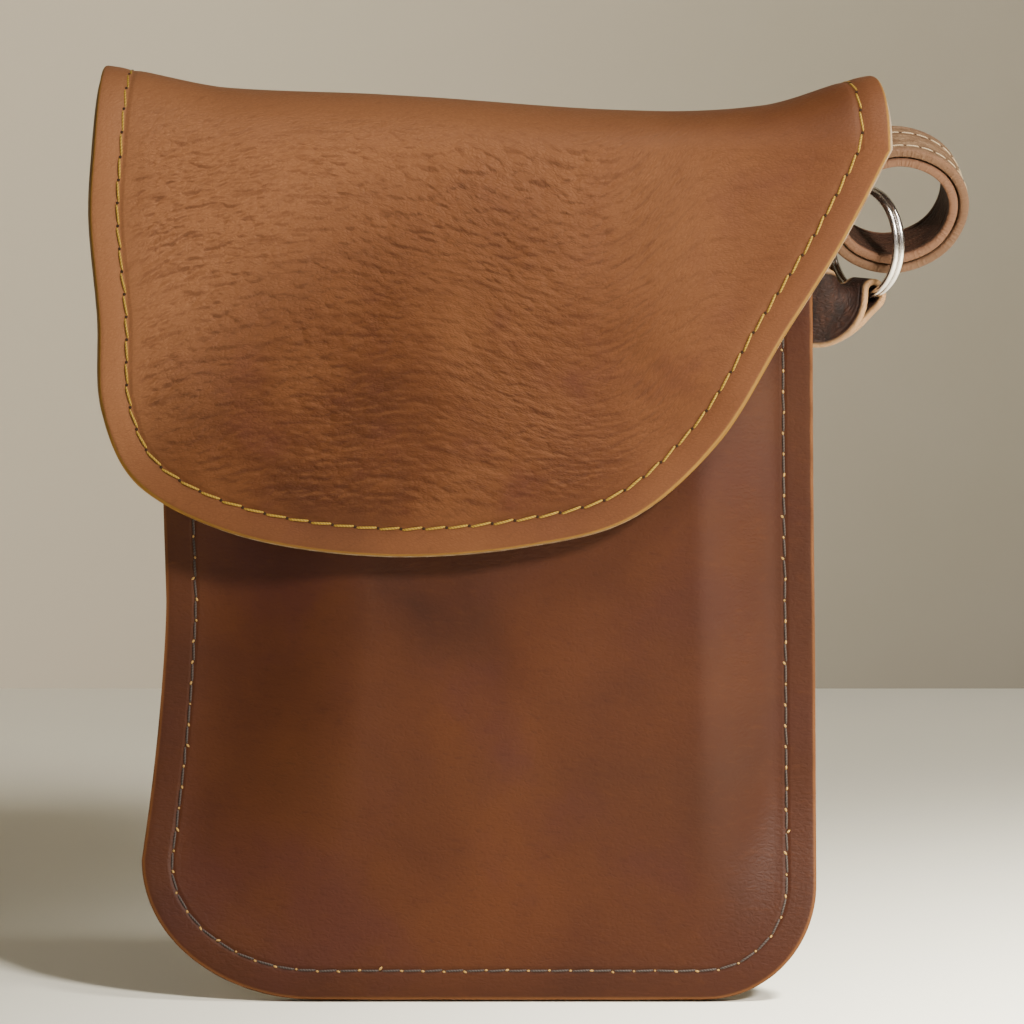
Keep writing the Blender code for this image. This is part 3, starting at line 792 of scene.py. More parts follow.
def dress(obj: Object, *materials: Material) -> Object:
    """Give an object its materials, in slot order."""
    obj.data.materials.clear()
    for material in materials:
        obj.data.materials.append(material)
    return obj


def shade(obj: Object, angle: float) -> Object:
    """Shade round surfaces smooth and keep sharp edges."""
    only(obj)
    bpy.ops.object.shade_smooth_by_angle(angle=math.radians(angle))
    return obj


def stand_in(made: Sequence[Object], nodes: Sequence[str], carry: Callable[[Object], None]) -> None:
    """Put pieces in the place of CAD nodes.

    Args:
        made: The pieces; the first takes the nodes' place.
        nodes: The nodes, which are hidden.
        carry: Tells the frame how a piece moves.
    """
    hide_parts(*nodes)
    for obj in made:
        carry(obj)
    LOG.info("%s stands for %s", made[0].name, ", ".join(nodes))


def ride_on(body: str) -> Callable[[Object], None]:
    """What lets a piece move with one body."""
    return lambda obj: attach(obj, body)


def close_to_edge(count: int, length: float, start: bool = True, end: bool = True) -> Array:
    """Even steps from 0 to 1 over a length, with short ones first and last for a rounded edge."""
    fine = np.array(EDGE_STEPS) / length
    steps = np.linspace(fine[-1] if start else 0.0, 1.0 - (fine[-1] if end else 0.0), count)
    if start:
        steps = np.concatenate([fine[:-1], steps])
    if end:
        steps = np.concatenate([steps, 1.0 - fine[-2::-1]])
    return steps


@dataclass
class LeatherSheet:
    """A piece of leather laid out as a fine grid, with a thickness and rounded edges."""

    name: str
    columns: Array
    rows: Array
    place: Callable[[Array, Array], Laid]
    outward: Callable[[Array], Array]
    thickness: float
    rounding: float = 0.6
    closed: bool = False

    def build(self) -> Object:
        """Make the mesh.

        `place` gives, for each column and row value, the points, the UVs in millimetres and the
        distance from the free edge; `outward` gives the side that the grain faces.

        Returns:
            The object, with the grain in slot 0, the flesh side in slot 1 and the cut edge in slot 2.
        """
        bpy.ops.object.select_all(action="DESELECT")
        bpy.ops.mesh.primitive_grid_add(
            x_subdivisions=len(self.columns) - 1, y_subdivisions=len(self.rows) - 1, size=2)
        obj = bpy.context.object
        obj.name = obj.data.name = self.name
        mesh = obj.data
        flat = np.zeros(len(mesh.vertices) * 3)
        mesh.vertices.foreach_get("co", flat)
        flat = flat.reshape(-1, 3)
        column = np.rint((flat[:, 0] + 1) / 2 * (len(self.columns) - 1)).astype(int)
        row = np.rint((flat[:, 1] + 1) / 2 * (len(self.rows) - 1)).astype(int)
        points, uvs, edge = self.place(self.columns[column], self.rows[row])
        mesh.vertices.foreach_set("co", (points * MM).ravel())
        corners = np.zeros(len(mesh.loops), dtype=int)
        mesh.loops.foreach_get("vertex_index", corners)
        layer = mesh.uv_layers.active or mesh.uv_layers.new(name="UVMap")
        layer.data.foreach_set("uv", (uvs[corners] / UV_UNIT).ravel())
        mesh.attributes.new("edge", "FLOAT", "POINT").data.foreach_set("value", edge.astype(np.float32))
        mesh.update()
        self._face_outward(mesh, points)
        self._thicken(obj, edge)
        return obj

    def _face_outward(self, mesh: bpy.types.Mesh, points: Array) -> None:
        """Turn the grid over if its faces point inward."""
        normals = np.zeros(len(mesh.vertices) * 3)
        mesh.vertices.foreach_get("normal", normals)
        if np.sum(normals.reshape(-1, 3) * self.outward(points)) < 0.0:
            mesh.flip_normals()

    def _thicken(self, obj: Object, edge: Array) -> None:
        """Give the sheet its thickness, thinning towards the free edge so that it is rounded."""
        near = np.clip(edge / self.rounding, 0.0, 1.0)
        weight = EDGE_THINNEST + (1.0 - EDGE_THINNEST) * np.sqrt(1.0 - (1.0 - near) ** 2)
        group = obj.vertex_groups.new(name="wall")
        group.add([int(i) for i in np.nonzero(near >= 1.0)[0]], 1.0, "REPLACE")
        for index in np.nonzero(near < 1.0)[0]:
            group.add([int(index)], float(weight[index]), "REPLACE")
        if self.closed:
            apply_modifier(obj, "WELD", merge_threshold=WELD)
        for _ in range(3):
            obj.data.materials.append(None)
        apply_modifier(obj, "SOLIDIFY", thickness=self.thickness * MM, offset=0.0, vertex_group="wall",
                       material_offset=1, material_offset_rim=2)
        obj.vertex_groups.clear()
        shade(obj, 60.0)


@dataclass
class Bead:
    """A small rounded shape that is repeated: a stitch, a hole or a knot of thread."""

    rings: int
    squareness: float
    segments: int = 8
    twists: float = 2.2

    def __post_init__(self) -> None:
        """Model the shape once, along X, from a sphere."""
        bpy.ops.object.select_all(action="DESELECT")
        bpy.ops.mesh.primitive_uv_sphere_add(segments=self.segments, ring_count=self.rings, radius=1.0)
        ball = bpy.context.object
        mesh = ball.data
        points = np.array([v.co[:] for v in mesh.vertices])
        along = points[:, 2]
        girth = np.sqrt(np.clip(1.0 - along ** 2, 0.0, 1.0))
        full = np.sqrt(np.clip(1.0 - np.abs(along) ** self.squareness, 0.0, 1.0))
        scale = np.where(girth > 1e-6, full / np.maximum(girth, 1e-6), 0.0)
        self.points = rows(along, points[:, 0] * scale, points[:, 1] * scale)
        self.faces = sorted(tuple(face.vertices) for face in mesh.polygons)    # the same order in every run
        bpy.data.objects.remove(ball)

    def repeat(self, name: str, middles: Array, runs: Array, normals: Array, width: float, height: float,
               dive: float = 0.0) -> Object:
        """Lay a copy at each middle.

        Args:
            name: The piece's name.
            middles: The copies' middles.
            runs: Each copy's direction, as long as half the copy.
            normals: The side each copy's top faces.
            width: Half width.
            height: Half height.
            dive: How far the ends go down into the leather.

        Returns:
            One object that holds all the copies.
        """
        side = unit(np.cross(runs, normals))
        along, across, up = (self.points[:, k][None, :, None] for k in range(3))
        lift = up * height - dive * along ** 4
        points = (middles[:, None, :] + runs[:, None, :] * along + side[:, None, :] * across * width
                  + normals[:, None, :] * lift)
        count = len(self.points)
        faces = [tuple(corner + count * k for corner in face) for k in range(len(middles)) for face in self.faces]
        mesh = bpy.data.meshes.new(name)
        mesh.from_pydata((points * MM).reshape(-1, 3).tolist(), [], faces)
        turn = np.arctan2(self.points[:, 2], self.points[:, 1]) / (2 * np.pi)
        uv = np.tile(rows(self.points[:, 0] * self.twists, turn), (len(middles), 1))
        corners = np.zeros(len(mesh.loops), dtype=int)
        mesh.loops.foreach_get("vertex_index", corners)
        mesh.uv_layers.new(name="UVMap").data.foreach_set("uv", uv[corners].ravel())
        obj = bpy.data.objects.new(name, mesh)
        bpy.context.scene.collection.objects.link(obj)
        only(obj)
        bpy.ops.object.mode_set(mode="EDIT")
        bpy.ops.mesh.select_all(action="SELECT")
        bpy.ops.mesh.normals_make_consistent(inside=False)
        bpy.ops.object.mode_set(mode="OBJECT")
        bpy.ops.object.shade_smooth()
        return obj


@dataclass
class StitchRow:
    """A row of stitches along a route of holes: points and the normals they sit on."""

    name: str
    points: Array
    normals: Array
    yarn: Material
    hole: Material
    radius: float = 0.27
    slant: float = 5.0
    seed: int = 1
    peeks: Union[Material, None] = None

    def build(self) -> list[Object]:
        """Make the stitches, their holes and, where the other side's thread shows, its knots."""
        jitter = np.random.default_rng(self.seed)
        runs = np.diff(self.points, axis=0) / 2
        middles = (self.points[1:] + self.points[:-1]) / 2
        normals = unit(self.normals[1:] + self.normals[:-1])
        side = np.cross(normals, runs)
        swing = np.radians(self.slant + jitter.normal(0.0, 1.5, len(runs)))[:, None]
        turned = runs * np.cos(swing) + side * np.sin(swing)
        size = self.radius
        stitch = Bead(rings=9, squareness=6.0)
        made = [dress(stitch.repeat(f"{self.name}_stitches", middles + normals * size * 0.45, turned * 0.93,
                                    normals, width=size, height=size * 0.8, dive=size * 1.3), self.yarn)]
        tangents = unit(np.gradient(self.points, axis=0))
        dot = Bead(rings=5, squareness=2.0)
        made.append(dress(dot.repeat(f"{self.name}_holes", self.points, tangents * size * 1.35, self.normals,
                                     width=size * 1.25, height=0.07), self.hole))
        if self.peeks:
            side = np.cross(self.normals, tangents)
            shift = jitter.normal(0.0, 0.16, (len(self.points), 1))
            size = jitter.uniform(0.6, 1.2, (len(self.points), 1))
            spots = self.points + side * shift + self.normals * 0.06
            made.append(dress(dot.repeat(f"{self.name}_knots", spots, (tangents + side * shift * 3) * 0.30 * size,
                                         self.normals, width=0.2, height=0.16), self.peeks))
        return made


# The pouch's sub-assemblies
# --------------------------

class Finishes:
    """Every material, made once."""

    def __init__(self) -> None:
        """Make the materials."""
        self.flap, self.body = PebbledHide().make(), SmoothHide().make()
        self.lining = Suede("ochre_suede").make()
        self.flesh = Suede("brown_suede", (0.20, 0.11, 0.06), (0.09, 0.045, 0.022)).make()
        self.edge, self.strap_edge, self.tab_edge, self.ochre_edge = (RawEdge(*colours).make() for colours in (
            ("body_edge", (0.22, 0.095, 0.032), (0.10, 0.040, 0.013)),
            ("strap_edge", (0.060, 0.027, 0.014), (0.028, 0.012, 0.006)),
            ("tab_edge", (0.17, 0.090, 0.042), (0.075, 0.036, 0.016)),
            ("ochre_edge", (0.40, 0.25, 0.06), (0.19, 0.10, 0.022))))
        self.yellow, self.gold, self.brown, self.cream = (yarn.make() for yarn in Yarn)
        self.hole, self.nickel = Shadowed().make(), Nickel().make()
        self.steel = Nickel("brushed_steel", (0.48, 0.47, 0.45), (0.30, 0.29, 0.28), 0.32).make()
        self.strap = StrapHide().make()
        self.strap_dark = StrapHide("strap_flesh", (0.075, 0.032, 0.018), (0.040, 0.016, 0.009),
                                    (0.016, 0.007, 0.004), (0.13, 0.062, 0.034)).make()
        self.tab = StrapHide("tab_hide", (0.034, 0.012, 0.006), (0.017, 0.006, 0.0035),
                             (0.007, 0.003, 0.002), (0.30, 0.17, 0.08)).make()


@dataclass
class Body:
    """The two sewn panels and their seam; `crowding` sets the grid closer towards the bottom."""

    pattern: Pattern
    finishes: Finishes
    cell: float = 1.0
    width: float = 118.0
    crowding: float = 1.35
    packing: float = 0.93

    def build(self) -> None:
        """Make both panels and both sides of the seam's stitching."""
        self._panel("front_panel", self.pattern.front_surface, self.pattern.body_top, -1.0)
        self._panel("back_panel", self.pattern.back_surface, self.pattern.body_top - 1.0, 1.0)
        self._seam("seam_front", self.pattern.front_surface, -1.0, self.pattern.body_top - 4.0, "seam_bobbin_thread")
        self._seam("seam_back", self.pattern.back_surface, 1.0, self.pattern.tail_bottom - 2.0, "seam_needle_thread")

    def _panel(self, node: str, surface: Callable[[Array, Array], Array], top: float, facing: float) -> None:
        """Make one panel in place of its node.

        Args:
            node: The CAD node.
            surface: The panel's middle surface, as Y over X and Z.
            top: The height of its free edge.
            facing: -1 for a grain side that faces the front, 1 for the back.
        """
        outline = self.pattern.body_edge()

        def place(across: Array, along: Array) -> Laid:
            """Lay the panel out from side to side and from the bottom up."""
            z = top * along ** self.crowding
            left, right = self.pattern.body_sides(z)
            x = left + (right - left) * across
            edge = np.minimum(clearance_from(rows(x, z), outline), top - z)
            return rows(x, surface(x, z), z), rows(x, z), edge

        columns = close_to_edge(round(self.width / self.cell), self.width)
        lines = close_to_edge(round(top / self.cell), top * self.crowding, start=False)
        sheet = LeatherSheet(f"{node}_leather", columns, lines, place,
                             lambda points: np.tile((0.0, facing, 0.0), (len(points), 1)), self.pattern.panel)
        obj = dress(sheet.build(), self.finishes.body, self.finishes.flesh, self.finishes.edge)
        stand_in([obj], [node], ride_on("pouch"))

    def _seam(self, name: str, surface: Callable[[Array, Array], Array], facing: float, top: float,
              node: str) -> None:
        """Sew one side of the seam.

        Args:
            name: The piece's name.
            surface: The middle surface of the panel on that side.
            facing: -1 for the front and 1 for the back.
            top: The height at which the stitches end.
            node: The CAD node that they stand for.
        """
        route = inset(self.pattern.body_edge(), self.pattern.stitch_margin)
        route = evenly(route[route[:, 1] < top], self.pattern.stitch * self.packing)
        x, z = route.T
        y = surface(x, z) + facing * (self.pattern.panel / 2)
        normals = np.tile((0.0, facing, 0.0), (len(x), 1))
        front = facing < 0.0
        yarn = self.finishes.brown if front else self.finishes.yellow
        row = StitchRow(name, rows(x, y, z), normals, yarn, self.finishes.hole, radius=0.2 if front else 0.27,
                        slant=2.0, seed=3, peeks=self.finishes.gold if front else None)
        stand_in(row.build(), [node], ride_on("pouch"))


@dataclass
class Flap:
    """The flap: outer leather and lining, each in a rear and a front half that meet on the crown.

    The outer leather's middle surface stops a little inside the pattern's edge, by `trim` in
    millimetres and by `side_trim` and `front_trim` as shares, so that its rounded edge meets it.
    """

    pattern: Pattern
    finishes: Finishes
    cell: float = 0.85
    width: float = 139.0
    hang: float = 71.0
    tail: float = 19.0
    trim: float = 0.42
    side_trim: float = 0.003
    front_trim: float = 0.0065
    core: float = 140.0
    bend_reach: tuple[float, float] = (3.5, -3.5)
    fold_reach: tuple[float, float] = (-1.5, 6.5)
    lining_stitches_top: float = 153.0

    def build(self) -> None:
        """Make the leather, the lining and the stitching."""
        outer = (self.finishes.flap, self.finishes.flesh, self.finishes.edge)
        inner = (self.finishes.lining, self.finishes.lining, self.finishes.ochre_edge)
        self._half("flap_leather_front", True, 0.0, self.pattern.leather, outer, ["flap_front"])
        self._half("flap_leather_rear", False, 0.0, self.pattern.leather, outer, ["flap_tail", "flap_crown"])
        depth = self.pattern.lining_offset
        self._half("flap_lining_front", True, depth, self.pattern.lining, inner, ["flap_lining"])
        self._half("flap_lining_rear", False, depth, self.pattern.lining, inner, ["crown_lining"])
        self._stitching()

    def _courses(self, front: bool, lining: bool) -> Array:
        """The rows of one half, as positions along the flap's course."""
        crown = np.linspace(0.0, 0.5, round(0.5 * self.pattern.arc / self.cell) + 1)
        if front:
            hang = close_to_edge(round(self.hang / self.cell), self.hang, start=False)
            reach = 1.0 if lining else 1.0 - self.front_trim
            return np.concatenate([-(hang * reach)[::-1], crown[1:]])
        if lining:
            return 0.5 + np.linspace(0.0, 0.5, 21)
        tail = 1.0 + close_to_edge(round(self.tail / self.cell), self.tail, start=False)
        return np.concatenate([0.5 + crown, tail[1:]])

    def _half(self, name: str, front: bool, depth: float, thickness: float,
              materials: tuple[Material, ...], nodes: list[str]) -> None:
        """Make the front or the rear half of one layer.

        Args:
            name: The piece's name.
            front: Whether it is the front half.
            depth: How deep the layer lies below the outer leather, 0 for that leather itself.
            thickness: The layer's thickness.
            materials: Its grain, flesh side and cut edge.
            nodes: The CAD nodes that it stands for.
        """
        pattern, lining = self.pattern, depth > 0.0
        outline = pattern.flap_edge()

        def place(across: Array, course: Array) -> Laid:
            """Lay the half out on the flap's surface, at its depth."""
            flat = pattern.flap_surface(across, course)
            run = pattern.flap_run(flat, course)
            x, z = flat[:, 0], flat[:, 2]
            turn = 1.0 - np.clip(course, 0.0, 1.0)
            left, right = pattern.crown_sides(turn)
            sides = np.minimum(x - left, right - x)
            hanging = np.array(course < 0.0)
            edge = np.where(hanging, 0.0, sides)
            edge[hanging] = clearance_from(flat[hanging][:, [0, 2]], outline)
            edge = np.minimum(edge, np.where(course > 1.0, z - pattern.tail_bottom, np.inf))
            if not lining:
                edge = np.clip(edge - self.trim, 0.0, None)
            relief = 0.0 if lining else self._relief(x, run, edge)
            return pattern.flap_surface(across, course, depth - relief), rows(x, run), edge

        def outward(points: Array) -> Array:
            """Away from the crown's core for the outer leather, towards it for the lining."""
            middle = np.array([0.0, pattern.middle_y, self.core])
            away = (points - middle) * (0.0, 1.0, 1.0)
            return -away if lining else away

        columns = close_to_edge(round(self.width / self.cell), self.width)
        if not lining:
            columns = self.side_trim + columns * (1.0 - 2 * self.side_trim)
        sheet = LeatherSheet(name, columns, self._courses(front, lining), place, outward, thickness)
        stand_in([dress(sheet.build(), *materials)], nodes, lambda obj: self._bend(obj, front))

    def _relief(self, x: Array, run: Array, edge: Array) -> Array:
        """Folds and pebbles that stand up from the outer leather.

        Args:
            x: Place across the flap.
            run: Place along it, 0 at the bend and less in front.
            edge: Distance from the free edge.

        Returns:
            Their height; less than 0 in the groove that the stitches press.
        """
        inside = ease(5.5, 16.0, edge)
        calm = ease(-2.0, -18.0, run)
        slope = run - 0.0065 * np.clip(x + 10.0, 0.0, None) ** 2
        busy = ease(-0.25, 0.45, self.pattern.dents(x / 30.0 + 2.0, run / 24.0)) * (1 - 0.7 * ease(15.0, 55.0, x))
        folds = 1.0 - np.abs(self.pattern.creases(x / 11.0, slope / 4.2))
        small = 1.0 - np.abs(self.pattern.ripples(x / 5.5, slope / 2.3 + 8.0))
        pressed = 0.22 * np.exp(-((edge - self.pattern.stitch_margin + 0.4) / 1.1) ** 2)
        return inside * calm * (0.26 * busy * folds + (0.05 + 0.12 * busy) * small) - pressed

    def _bend(self, obj: Object, front: bool) -> None:
        """Bake a piece's place into its mesh; it is not made to follow the front bend or the rear fold."""
        pattern = self.pattern
        if front:
            bodies, y, z, reach = ("crown", "flap"), pattern.flap_y, pattern.bend, self.bend_reach
        else:
            bodies, y, z, reach = ("pouch", "crown"), pattern.tail_y, pattern.fold, self.fold_reach
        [(0.0, y * MM, (z + step) * MM) for step in reach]
        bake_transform(obj)

    def _loop_route(self) -> tuple[Array, Array]:
        """Stitch holes all round the flap, from the tail up one side and down the other.

        Returns:
            The holes' points and their outward normals.
        """
        pattern, margin = self.pattern, self.pattern.stitch_margin
        front = inset(pattern.flap_edge(), margin)
        front = front[front[:, 1] < pattern.bend]
        course = np.linspace(0.0, 1.0, 60)
        left, right = pattern.crown_sides(1 - course)
        share = margin / (right - left)
        left_side, right_side = (pattern.flap_surface(across, course) for across in (share, 1 - share))
        side, count = pattern.tail_width - margin, 20
        tail_z = np.linspace(pattern.fold, pattern.tail_bottom + 4.0, count)
        low = np.linspace(side, -side, 80)
        tail = np.concatenate([rows(np.full(count, side), tail_z)[1:], rows(low, np.full(80, tail_z[-1])),
                               rows(np.full(count, -side), tail_z[::-1])])
        down = (pattern.fold - tail[:, 1]) / (pattern.fold - pattern.tail_bottom)
        across = (tail[:, 0] / pattern.tail_width + 1) / 2
        route = np.concatenate([left_side[::-1], rows(front[:, 0], pattern.front_level(*front.T), front[:, 1]),
                                right_side, pattern.flap_surface(across, 1 + down)])
        route = evenly(route, pattern.stitch)
        y, z = route[:, 1] - pattern.middle_y, route[:, 2]
        radial = unit(rows(np.zeros(len(route)), y, z - (pattern.fold + pattern.bend) / 2))
        flat = np.where((y < 0.0)[:, None], (0.0, -1.0, 0.0), (0.0, 1.0, 0.0))
        arched = ease(147.5, 152.0, z)[:, None]
        return route, unit(flat * (1 - arched) + radial * arched)

    def _stitching(self) -> None:
        """Sew round the flap: yellow outside, brown on the lining."""
        points, normals = self._loop_route()
        behind = points[:, 1] > self.pattern.middle_y
        first = int(np.argmax(~behind))
        order = np.roll(np.arange(len(points)), -first)
        points, normals, behind = points[order], normals[order], behind[order]
        split = int(np.argmax(behind))
        runs = {True: slice(0, split + 1), False: slice(split, len(points))}
        outer, inner = self.pattern.leather / 2, self.pattern.lining_offset + self.pattern.lining / 2
        for front, part in runs.items():
            word = "front" if front else "rear"
            nodes = ["flap_needle_thread"] if front else ["tail_thread", "crown_thread_left", "crown_thread_right"]
            row = StitchRow(f"flap_{word}", points[part] + normals[part] * (outer - 0.12), normals[part],
                            self.finishes.yellow, self.finishes.hole, radius=0.21, slant=6.0, seed=11)
            self._sewn(row, front, nodes)
        hanging = points[runs[True]]
        keep = hanging[:, 2] < self.lining_stitches_top
        under = StitchRow("lining", hanging[keep] - normals[runs[True]][keep] * inner, -normals[runs[True]][keep],
                          self.finishes.brown, self.finishes.hole, radius=0.24, slant=2.0, seed=12,
                          peeks=self.finishes.yellow)
        self._sewn(under, True, ["flap_bobbin_thread"])

    def _sewn(self, row: StitchRow, front: bool, nodes: list[str]) -> None:
        """Build a row of the flap's stitching in place of its nodes."""
        stand_in(row.build(), nodes, lambda obj: self._bend(obj, front))


@dataclass
class Catch:
    """The magnet and its keeper, under sewn patches."""

    finishes: Finishes
    sewing_radius: float = 8.2
    holes: int = 19

    def build(self) -> None:
        """Dress the discs and patches, and sew round each patch."""
        for node, body in (("magnet_patch", "flap"), ("keeper_patch", "pouch")):
            dress(bpy.data.objects[node], self.finishes.lining)
            low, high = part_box(node)
            centre = (low + high) / 2 / MM
            angle = np.linspace(0.0, 2 * np.pi, self.holes)
            points = rows(centre[0] + self.sewing_radius * np.cos(angle), np.full(self.holes, high[1] / MM),
                          centre[2] + self.sewing_radius * np.sin(angle))
            row = StitchRow(f"{node}_sewing", points, np.tile((0.0, 1.0, 0.0), (self.holes, 1)),
                            self.finishes.yellow, self.finishes.hole, radius=0.24, slant=4.0, seed=21)
            stand_in(row.build(), [f"{node}_thread"], ride_on(body))
        for node in ("flap_magnet", "closure_keeper"):
            dress(bpy.data.objects[node], self.finishes.steel)


@dataclass
class RingAndTab:
    """The split ring and the tab that it hangs in."""

    finishes: Finishes
    centre: tuple[float, float, float] = (67.4, 9.0, 132.7)
    yaw: float = 52.0
    radius: float = 9.4
    wire: float = 0.6
    pitch: float = 1.25
    crossover: float = 28.0
    end_gap: float = 4.0
    start: float = 150.0
    tunnel: float = 1.7
    tab: float = 1.1
    tab_height: float = 121.5
    tab_root: float = 50.0
    lip: float = 59.6
    seam_y: float = 4.95
    seam_width: float = 14.0
    ring_width: float = 6.0

    def __post_init__(self) -> None:
        """Work out the ring's directions and the fold's middle."""
        yaw = math.radians(self.yaw)
        self.along = np.array([math.cos(yaw), -math.sin(yaw), 0.0])
        self.axis = np.array([math.sin(yaw), math.cos(yaw), 0.0])
        self.up = np.array([0.0, 0.0, 1.0])
        rise = self.radius - math.sqrt(self.radius ** 2 - (self.ring_width / 2) ** 2)
        self.fold = np.array(self.centre) - self.up * (self.radius - rise / 2)
        self.arrive = self.axis * 0.8 + self.up * 0.6

    def build(self) -> None:
        """Make the ring and the tab."""
        self._ring()
        self._tab()

    def _ring(self) -> None:
        """Two turns of wire, with a step where one passes to the next."""
        turn = np.linspace(0.0, 720.0 - self.crossover - self.end_gap, 260)
        side = self.pitch * (ease(360.0 - self.crossover, 360.0, turn) - 0.5)
        swing = np.radians(turn + self.start)[:, None]
        path = (np.array(self.centre) + self.radius * (np.cos(swing) * self.along + np.sin(swing) * self.up)
                + side[:, None] * self.axis)
        curve = bpy.data.curves.new("split_ring_wire", "CURVE")
        curve.dimensions, curve.bevel_depth, curve.bevel_resolution = "3D", self.wire * MM, 4
        curve.use_fill_caps = True
        line = curve.splines.new("POLY")
        line.points.add(len(path) - 1)
        line.points.foreach_set("co", np.concatenate([path * MM, np.ones((len(path), 1))], axis=1).ravel())
        obj = bpy.data.objects.new("split_ring_wire", curve)
        bpy.context.scene.collection.objects.link(obj)
        only(obj)
        bpy.ops.object.convert(target="MESH")
        obj = bpy.context.object
        apply_modifier(obj, "WELD", merge_threshold=WELD)
        shade(dress(obj, self.finishes.nickel), 50.0)
        stand_in([obj], ["split_ring"], ride_on("ring"))

    def _layer(self, step: Array) -> tuple[Array, Array, Array, Array, Array]:
        """Follow the tab's two layers.

        Args:
            step: -1 at the tab's root, 0 where it leaves the seam and 1 at the fold round the ring.

        Returns:
            Their middle, width direction, width, half spacing and spacing direction.
        """
        root, lip = (np.array([x, self.seam_y, self.tab_height]) for x in (self.tab_root, self.lip))
        reach = np.linalg.norm(self.fold - lip)
        t = np.clip(step, 0.0, 1.0)[:, None]
        ahead = np.array([reach, 0.0, 0.0])
        centre = (lip + (self.fold - lip) * (3 * t ** 2 - 2 * t ** 3) + ahead * (t ** 3 - 2 * t ** 2 + t)
                  + self.arrive * reach * (t ** 3 - t ** 2) + (lip - root) * np.minimum(step, 0.0)[:, None])
        slope = ((self.fold - lip) * (6 * t - 6 * t ** 2) + ahead * (3 * t ** 2 - 4 * t + 1)
                 + self.arrive * reach * (3 * t ** 2 - 2 * t))
        turn = ease(0.0, 1.0, step)[:, None]
        width = self.up * (1 - turn) - self.along * turn
        slope = unit(slope)
        width = unit(width - slope * np.sum(width * slope, axis=1, keepdims=True))
        size = self.seam_width + (self.ring_width - self.seam_width) * turn[:, 0]
        seam_half, fold_half = (self.tab + 0.3) / 2, self.tunnel + self.tab / 2
        return centre, width, size, seam_half + (fold_half - seam_half) * turn[:, 0], np.cross(slope, width)

    def _tab(self) -> None:
        """A strip that leaves the seam, folds round the ring and comes back."""
        def place(across: Array, along: Array) -> Laid:
            """Lay the strip out: one layer up to 1, the fold up to 2, and the other layer back."""
            out = np.clip(along, 0.0, 1.0) * 2 - 1
            back = np.clip(3.0 - along, 0.0, 1.0) * 2 - 1
            bend = np.clip(along - 1.0, 0.0, 1.0)
            step = np.where(along <= 1.0, out, np.where(along >= 2.0, back, 1.0))
            centre, width, size, half, apart = self._layer(step)
            angle = np.pi * bend[:, None]
            fold = half[:, None] * (apart * np.cos(angle) + self.arrive * np.sin(angle))
            aside = size * (across - 0.5)
            points = centre + fold + width * aside[:, None]
            return points, rows(aside, along * 12.0), size * np.minimum(across, 1 - across)

        lines = np.concatenate([np.linspace(0, 1, 26), np.linspace(1, 2, 30)[1:], np.linspace(2, 3, 26)[1:]])
        sheet = LeatherSheet("ring_tab_strip", close_to_edge(16, 10.0), lines, place,
                             lambda points: points - self.fold, self.tab, 0.4)
        obj = dress(sheet.build(), self.finishes.tab, self.finishes.tab, self.finishes.tab_edge)
        stand_in([obj], ["ring_tab"], ride_on("pouch"))


